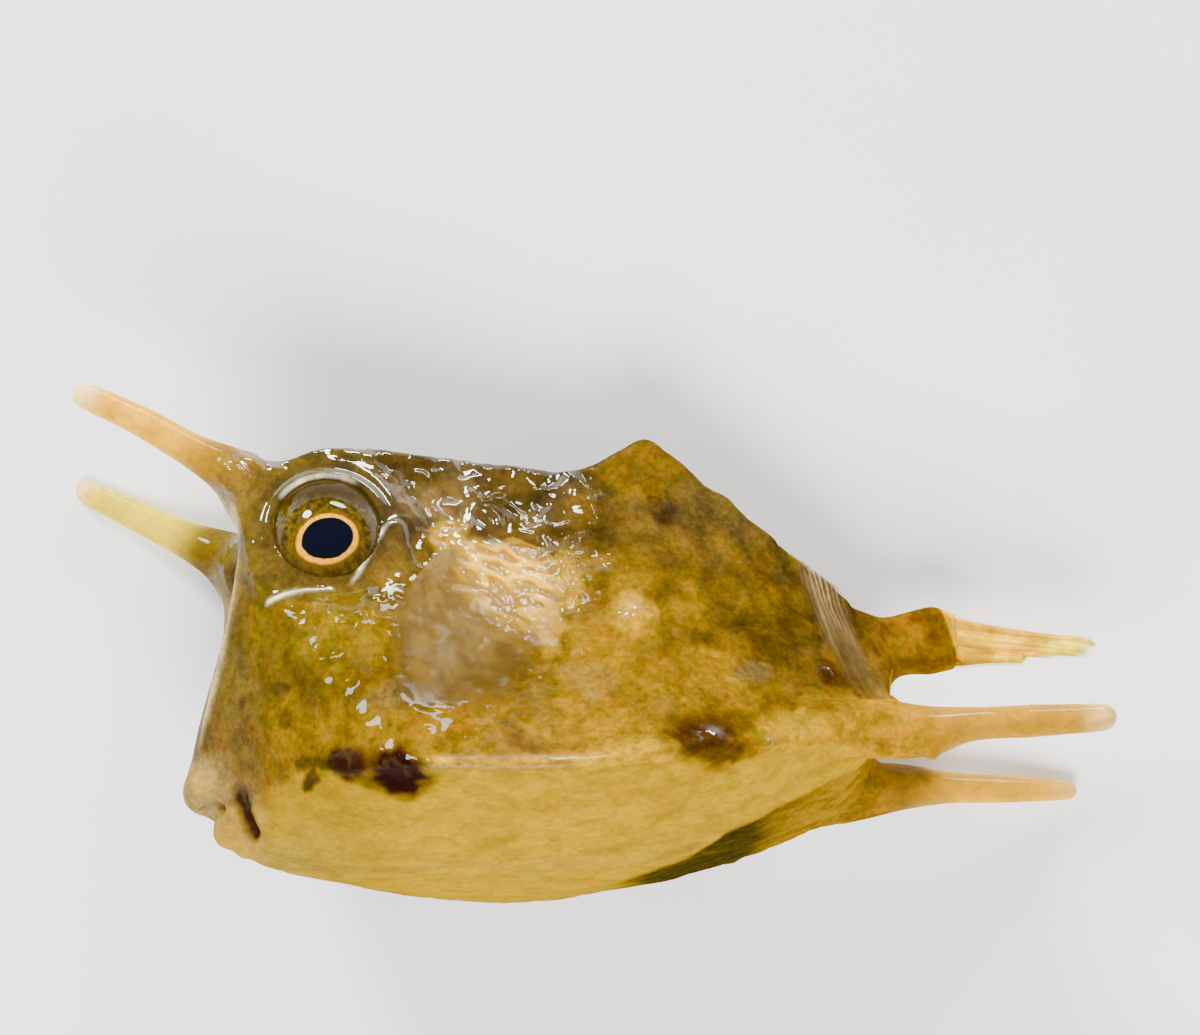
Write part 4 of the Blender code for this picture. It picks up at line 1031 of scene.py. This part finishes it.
def eyeball(side, look):
    """The eye: a clear glossy dome over the iris, which shows through its gloss."""
    centre, way = mirrored(EYE_CENTRE[side], side), mirrored(EYE_WAY, side)
    up = unit(np.array((0.0, 0.0, 1.0)) - way * way[2])
    ahead = unit(np.array((-1.0, 0.0, 0.0)) + way * way[0] + up * up[0])
    tilt = np.linspace(0, EYE_REACH, 90)[1:]
    turn = math.tau * np.arange(EYE_SIDES) / EYE_SIDES
    flat = ahead * np.cos(turn)[:, None] + up * np.sin(turn)[:, None]
    radius, height = EYE_BALL * np.sin(tilt), EYE_BALL * np.cos(tilt)
    points, faces = loft(centre + radius[:, None, None] * flat + height[:, None, None] * way)
    cap = [(len(points), i, (i + 1) % EYE_SIDES) for i in range(EYE_SIDES)]
    points = np.concatenate([points, [centre + way * EYE_BALL]])
    ball = new_object("eyeball_" + side, points, faces[:-2] + [faces[-1]] + cap, look)
    plane = columns(np.outer(radius, np.cos(turn)), np.outer(radius, np.sin(turn))).reshape(-1, 2)
    plane = np.concatenate([plane, [(0.0, 0.0)]])
    dx, dy = (plane - PUPIL_SHIFT).T
    long = (dx * math.cos(PUPIL_TILT) + dy * math.sin(PUPIL_TILT)) / PUPIL_SIZE[0]
    tall = (dy * math.cos(PUPIL_TILT) - dx * math.sin(PUPIL_TILT)) / PUPIL_SIZE[1]
    add_attribute(ball, "pupil_reach", np.hypot(long, tall))
    add_attribute(ball, "dome_reach", np.linalg.norm(plane, axis=1))
    add_attribute(ball, "spot", columns(*plane.T, 0))
    return ball


def eye_material():
    n = Nodes("speckled_eye")
    spot = n.attribute("spot", "Vector")
    wobble = n.times(n.math("SUBTRACT", n.noise(spot, 1.3, 2), 0.5), 0.16)
    reach = n.plus(n.attribute("pupil_reach"), wobble)
    iris = n.mix(n.ramp(n.noise(spot, 3.4, 6, 0.6), 0.38, 0.64), IRIS_DARK, IRIS)
    iris = n.mix(n.times(n.ramp(n.noise(spot, 1.4, 4), 0.5, 0.7), 0.7), iris, IRIS_LILAC)
    upper = n.node("SeparateXYZ", "Y", {"Vector": spot})
    iris = n.mix(n.ramp(upper, 0.1, 1.3, 0.0, 0.9), iris, IRIS_DARK)
    # painted shade round the eye's outer edge, under the lid
    iris = n.mix(n.ramp(n.attribute("dome_reach"), 1.7, 2.35, 0.0, 0.6), iris, SOCKET_SHADE)
    iris = n.mix(n.times(n.ramp(reach, 1.2, 1.6, 1.0, 0.0), 0.6), iris, IRIS_WARM)
    gold = n.mix(n.ramp(n.noise(spot, 6.0, 5, 0.6), 0.35, 0.65), RING, RING_PALE)
    ring = n.times(n.ramp(reach, 0.98, 1.03), n.ramp(reach, 1.15, 1.27, 1.0, 0.0))
    colour = n.mix(n.ramp(reach, 0.97, 1.03, 1.0, 0.0), n.mix(ring, iris, gold), PUPIL)
    n.shader(Base_Color=colour, Coat_Weight=n.ramp(upper, 0.3, 1.2, 0.85, 0.22), Roughness=0.4,
             Specular_IOR_Level=0.0, Coat_Roughness=0.015, Coat_IOR=1.4)
    return n.material


def square(count, steps):
    """How far across and out each point of a fin's grid is, from 0 to 1."""
    return np.meshgrid(np.linspace(0, 1, count), np.linspace(0, 1, steps), indexing="ij")


def fan(bases, bends, ends, count, steps):
    """A grid of points: rays from the base line over the bend line to the end line."""
    at = np.linspace(0, 1, count)
    base, bend, end = (
        spline(np.linspace(0, 1, len(line)), np.array(line, float), at)[:, None]
        for line in (bases, bends, ends)
    )
    r = np.linspace(0, 1, steps)[None, :, None]
    return base * (1 - r) ** 2 + bend * 2 * r * (1 - r) + end * r**2


def frayed(rays, waves, shift, seed, amount, cut_only=False):
    """Rays with uneven ends."""
    q, r = square(*rays.shape[:2])
    uneven = noise(columns(q.ravel() * waves, shift, 0), 1.0, seed).reshape(q.shape)
    uneven = -np.abs(uneven) if cut_only else uneven
    return rays[:, :1] + (rays - rays[:, :1]) * (1 + amount * uneven * r)[:, :, None]


def sheet(name, points, thick, rays, look):
    """A closed thin sheet about a grid of points, with what its material reads. thick is that of
    the web, the rays and the base."""
    count, steps = points.shape[:2]
    q, r = square(count, steps)
    web, ray, base = thick
    stripe = 0.5 + 0.5 * np.cos(math.tau * q * rays)
    thickness = web + (ray - web) * stripe**2 * (1 - 0.5 * r) + (base - web) * (1 - r) ** 4
    normals = unit(np.cross(np.gradient(points, axis=1), np.gradient(points, axis=0)))
    index = np.arange(q.size).reshape(q.shape)
    quads = np.stack([index[:-1, :-1], index[1:, :-1], index[1:, 1:], index[:-1, 1:]], -1).reshape(-1, 4)
    second = quads[:, ::-1] + q.size
    rim = np.concatenate([index[:, 0], index[-1, 1:], index[-2::-1, -1], index[0, -2:0:-1]])
    after = np.roll(rim, -1)
    edge = np.stack([rim, after, after + q.size, rim + q.size], -1)[:, ::-1]
    half = normals * thickness[:, :, None] / 2
    both = np.concatenate([(points + half).reshape(-1, 3), (points - half).reshape(-1, 3)])
    made = new_object(name, both, np.concatenate([quads, second, edge]).tolist(), look)
    border = np.minimum(np.minimum(q, 1 - q) * 2, 1 - r)
    for label, values in (("ray", stripe), ("out", r), ("border", border)):
        add_attribute(made, label, np.tile(values.ravel(), 2))
    add_attribute(made, "fish", in_fish(read(made.data.vertices, "co")))
    add_attribute(made, "lay", np.tile(columns(q.ravel() * rays * 0.8, r.ravel() * 1.2, 0), (2, 1)))
    return made


def pectoral(side, look):
    """A wet fin spread flat on the side, its upper rays crumpled together."""
    count, steps = PECTORAL_RAYS * 12 + 1, 110
    base = spline((0.0, 1.0), np.array(PECTORAL_BASE), np.linspace(0, 1, len(PECTORAL_END)))
    turn = np.linspace(0, 1, len(base)) ** 2
    bend = (base + PECTORAL_END) / 2
    bend[:, 0] += PECTORAL_BOW[0] * (1 - turn) + PECTORAL_BOW[1] * turn
    flat = frayed(fan(PECTORAL_BASE, bend, PECTORAL_END, count, steps), 9, 0, 77, 0.035)
    x, z = flat.reshape(-1, 2).T
    q, r = (part.ravel() for part in square(count, steps))
    crumpled = fade(0.3, 0.55, q) * smooth(0.1, 0.3, r)
    grain = columns(0.8 * x + 0.3 * z, 0, 1.2 * z + 0.3 * x)
    fold = np.clip(1 - np.abs(noise(grain, 0.8, 91, 2)) * 1.5, 0, 1)
    wave = 0.1 * noise(columns(x, 0, z), 3.0, 81, 2) + crumpled * (0.09 * fold - 0.02)
    wave *= smooth(0.0, 0.2, r) * (0.3 if side == "right" else 1.0)
    points = above_body(*find_on_side(x, z), FIN_CLEARANCE + np.maximum(wave, -0.05), 0.6)
    points = mirrored(points, side).reshape(count, steps, 3)
    fin = sheet("pectoral_" + side, points, (0.07, 0.08, 0.14), PECTORAL_RAYS, look)
    add_attribute(fin, "gilt", np.tile(crumpled, 2))
    add_attribute(fin, "fold", np.tile(fold, 2))
    return fin


def dorsal(look):
    """The folded back fin, which lies down over the left side as a narrow wet band."""
    count, steps = DORSAL_RAYS * 8 + 1, 110
    table = np.linspace(0, ALONG[-1], 400)
    lines = [[(np.interp(x, body_points(table, np.full(400, row))[:, 0], table), row) for x, row in line]
             for line in DORSAL]
    flat = frayed(fan(*lines, count, steps), 6, 9, 78, 0.09)
    along, around = flat.reshape(-1, 2).T
    q, r = (part.ravel() for part in square(count, steps))
    crown = 0.14 + 0.1 * np.sin(math.pi * q) + 0.08 * noise(columns(along, around, 0), 0.9, 85, 2)
    points = above_body(along, around, crown * smooth(0.0, 0.14, r) - 0.03, 0.8)
    fin = sheet("dorsal", points.reshape(count, steps, 3), (0.1, 0.15, 0.3), DORSAL_RAYS, look)
    add_attribute(fin, "gilt", np.zeros(2 * q.size))
    return fin


def free_fin(name, lines, rays, steps, thick, look, ragged=0.0):
    """A pleated fin that stands free of the body."""
    points = fan(*lines, rays * 12 + 1, steps)
    q, r = square(*points.shape[:2])
    points[:, :, 1] += 0.08 * np.sin(math.tau * q * rays) * smooth(0.0, 0.3, r)
    fin = sheet(name, frayed(points, 14, 0, 101, ragged, cut_only=True), thick, rays, look)
    add_attribute(fin, "gilt", np.zeros(2 * q.size))
    return fin


def fin_material(name, ray, membrane, edge, tip, clear, ribs, streaks, fade_width):
    n = Nodes(name)
    fish = n.attribute("fish", "Vector")
    stripe = n.attribute("ray")
    out = n.attribute("out")
    gilt = n.attribute("gilt")
    colour = n.mix(n.ramp(stripe, 0.3, 0.95), membrane, ray)
    colour = n.mix(n.ramp(out, 0.3, 0.85, 0.0, 0.85), colour, edge)
    colour = n.mix(n.ramp(n.node("SeparateXYZ", "X", {"Vector": fish}), 37.3, 38.8), colour, tip)
    grain = n.ramp(n.noise(n.attribute("lay", "Vector"), 1.6, 6, 0.6), 0.3, 0.7)
    colour = n.mix(streaks, colour, n.mix(grain, (0.74, 0.68, 0.60), (1.25, 1.25, 1.25)), "MULTIPLY")
    cloud = n.ramp(n.noise(fish, 0.75, 5, 0.62, 0.5), 0.36, 0.64)
    colour = n.mix(1.0, colour, n.mix(cloud, (0.72, 0.68, 0.62), (1.25, 1.24, 1.3)), "MULTIPLY")
    crest = n.ramp(n.plus(n.attribute("fold"), n.times(n.noise(fish, 3.0, 4), 0.3)), 0.3, 0.95)
    # painted shade in the hollows of the crumpled folds, with the crests golden
    colour = n.mix(n.times(gilt, 0.85), colour, n.mix(crest, FIN_SHADE, FIN_GILT))
    solid = n.ramp(stripe, 0.1, 0.9, clear, min(1.0, clear + 0.05))
    solid = n.times(solid, n.ramp(n.noise(fish, 0.7, 3), 0.3, 0.7, 0.75, 1.1))
    solid = n.math("MAXIMUM", solid, n.ramp(out, 0.0, 0.15, 0.8, 0.0))
    solid = n.math("MAXIMUM", solid, n.times(gilt, n.ramp(crest, 0.0, 0.6, 0.86, 0.95)))
    solid = n.times(solid, n.ramp(n.attribute("border"), 0.0, fade_width, 0.1, 1.0))
    height = n.plus(n.noise(fish, 4.0, 4, 0.5), n.times(stripe, ribs))
    film = n.times(n.noise(fish, 1.2, 1.5, 0.4, 1.0), n.plus(0.5, gilt))
    n.shader(
        Base_Color=colour, Alpha=solid, Normal=n.bump(height, 0.05, 0.5), Roughness=0.4,
        Coat_Normal=n.bump(film, 0.2, 1.0), Coat_Weight=n.ramp(gilt, 0.0, 0.8, 0.02, 0.5),
        Specular_IOR_Level=0.0, Coat_Roughness=0.03, Coat_IOR=1.6)
    return n.material


def floor_material():
    n = Nodes("pale_floor")
    shade = n.ramp(n.noise(n.node("NewGeometry", "Position", {}), 60.0, 4), 0.3, 0.7)
    n.shader(Base_Color=n.mix(shade, (0.91, 0.91, 0.905), (0.94, 0.94, 0.93)), Roughness=0.6)
    return n.material


# Lights: turn and height of the way they come from, in degrees, distance, width and depth in
# millimetres, and how bright each makes a white card that faces it
LIGHTS = (
    ("key", 125, 26, 560, (140, 140), 1.8),
    ("back", 74, 13, 420, (180, 66), 1.5),
    ("fill", 266, 56, 480, (260, 260), 2.4),
)
WORLD_COLOUR = (0.95, 0.97, 1.0, 1)
WORLD_STRENGTH = 0.35
FLOOR_REACH = 3.0


def stage():
    """The floor, the lights and the world's light."""
    data = bpy.data.meshes.new("floor")
    corners = [(FLOOR_REACH * x, FLOOR_REACH * y, 0) for x, y in ((-1, -1), (1, -1), (1, 1), (-1, 1))]
    data.from_pydata(corners, [], [(0, 1, 2, 3)])
    data.materials.append(floor_material())
    floor = bpy.data.objects.new("floor", data)
    bpy.context.scene.collection.objects.link(floor)
    for name, turn, height, distance, size, brightness in LIGHTS:
        light = bpy.data.lights.new(name, "AREA")
        light.shape = "ELLIPSE"
        light.size, light.size_y = size[0] * MM, size[1] * MM
        light.energy = brightness * (math.pi * distance * MM) ** 2
        lamp = bpy.data.objects.new(name, light)
        bpy.context.scene.collection.objects.link(lamp)
        lamp.visible_glossy = name != "fill"
        turn, height = math.radians(turn), math.radians(height)
        way = Vector((math.cos(turn) * math.cos(height), math.sin(turn) * math.cos(height), math.sin(height)))
        lamp.location = way * distance * MM
        lamp.rotation_euler = way.to_track_quat("Z", "Y").to_euler()
    world = bpy.data.worlds.new("studio")
    world.use_nodes = True
    background = world.node_tree.nodes["Background"].inputs
    background["Color"].default_value = WORLD_COLOUR
    background["Strength"].default_value = WORLD_STRENGTH
    bpy.context.scene.world = world


IMAGE_WIDTH = 1200
PIXELS_PER_MM = 22.46
CAMERA_PLACE = (0.428, 5.702, 450.0)


def camera():
    data = bpy.data.cameras.new("camera")
    data.sensor_width = 36.0
    data.lens = PIXELS_PER_MM * CAMERA_PLACE[2] / IMAGE_WIDTH * data.sensor_width
    data.clip_start = 0.01
    data.clip_end = 10.0
    made = bpy.data.objects.new("camera", data)
    bpy.context.scene.collection.objects.link(made)
    made.location = [part * MM for part in CAMERA_PLACE]
    bpy.context.scene.camera = made


def main():
    skin = fused_skin()
    skin.data.materials.clear()
    skin.data.materials.append(skin_material())
    fields = sculpt(skin.data)
    add_attribute(skin, "tone", columns(*paint(fields).T, 1))
    for name in ("fish", "bone", "ripple", "wet", "plain"):
        add_attribute(skin, name, getattr(fields, name))
    skin.data.shade_smooth()
    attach(skin, "root")
    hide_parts("head", "carapace", "tail_stalk", "horn_left", "horn_right", "spine_left", "spine_right")

    ball_look = eye_material()
    fin_look = fin_material("wet_fin", FIN_RAY, FIN_WEB, FIN_EDGE, FIN_EDGE, 0.62, 0.04, 0.3, 0.28)
    band_look = fin_material("folded_fin", BAND, BAND_WEB, BAND_WEB, BAND_WEB, 0.66, 0.25, 1.0, 0.7)
    tail_look = fin_material("tail_fin", TAIL_RAY, TAIL_WEB, TAIL_RAY, TAIL_TIP, 0.93, 0.12, 1.0, 0.12)
    pieces = []
    for side in SIDES:
        pieces.append((eyeball(side, ball_look), "eye_" + side, "eye"))
        pieces.append((pectoral(side, fin_look), "pectoral_fin_" + side, "fin"))
    pieces.append((dorsal(band_look), "dorsal_fin", "fin"))
    pieces.append((free_fin("anal", ANAL, 8, 60, (0.12, 0.26, 0.4), fin_look), "anal_fin", "fin"))
    pieces.append((free_fin("caudal", CAUDAL, 9, 120, (0.22, 0.34, 0.8), tail_look, 0.05), "caudal_fin", "tail_fin"))
    for piece, node, slot in pieces:
        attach(piece, "root")
        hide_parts(node)
    stage()
    camera()


main()
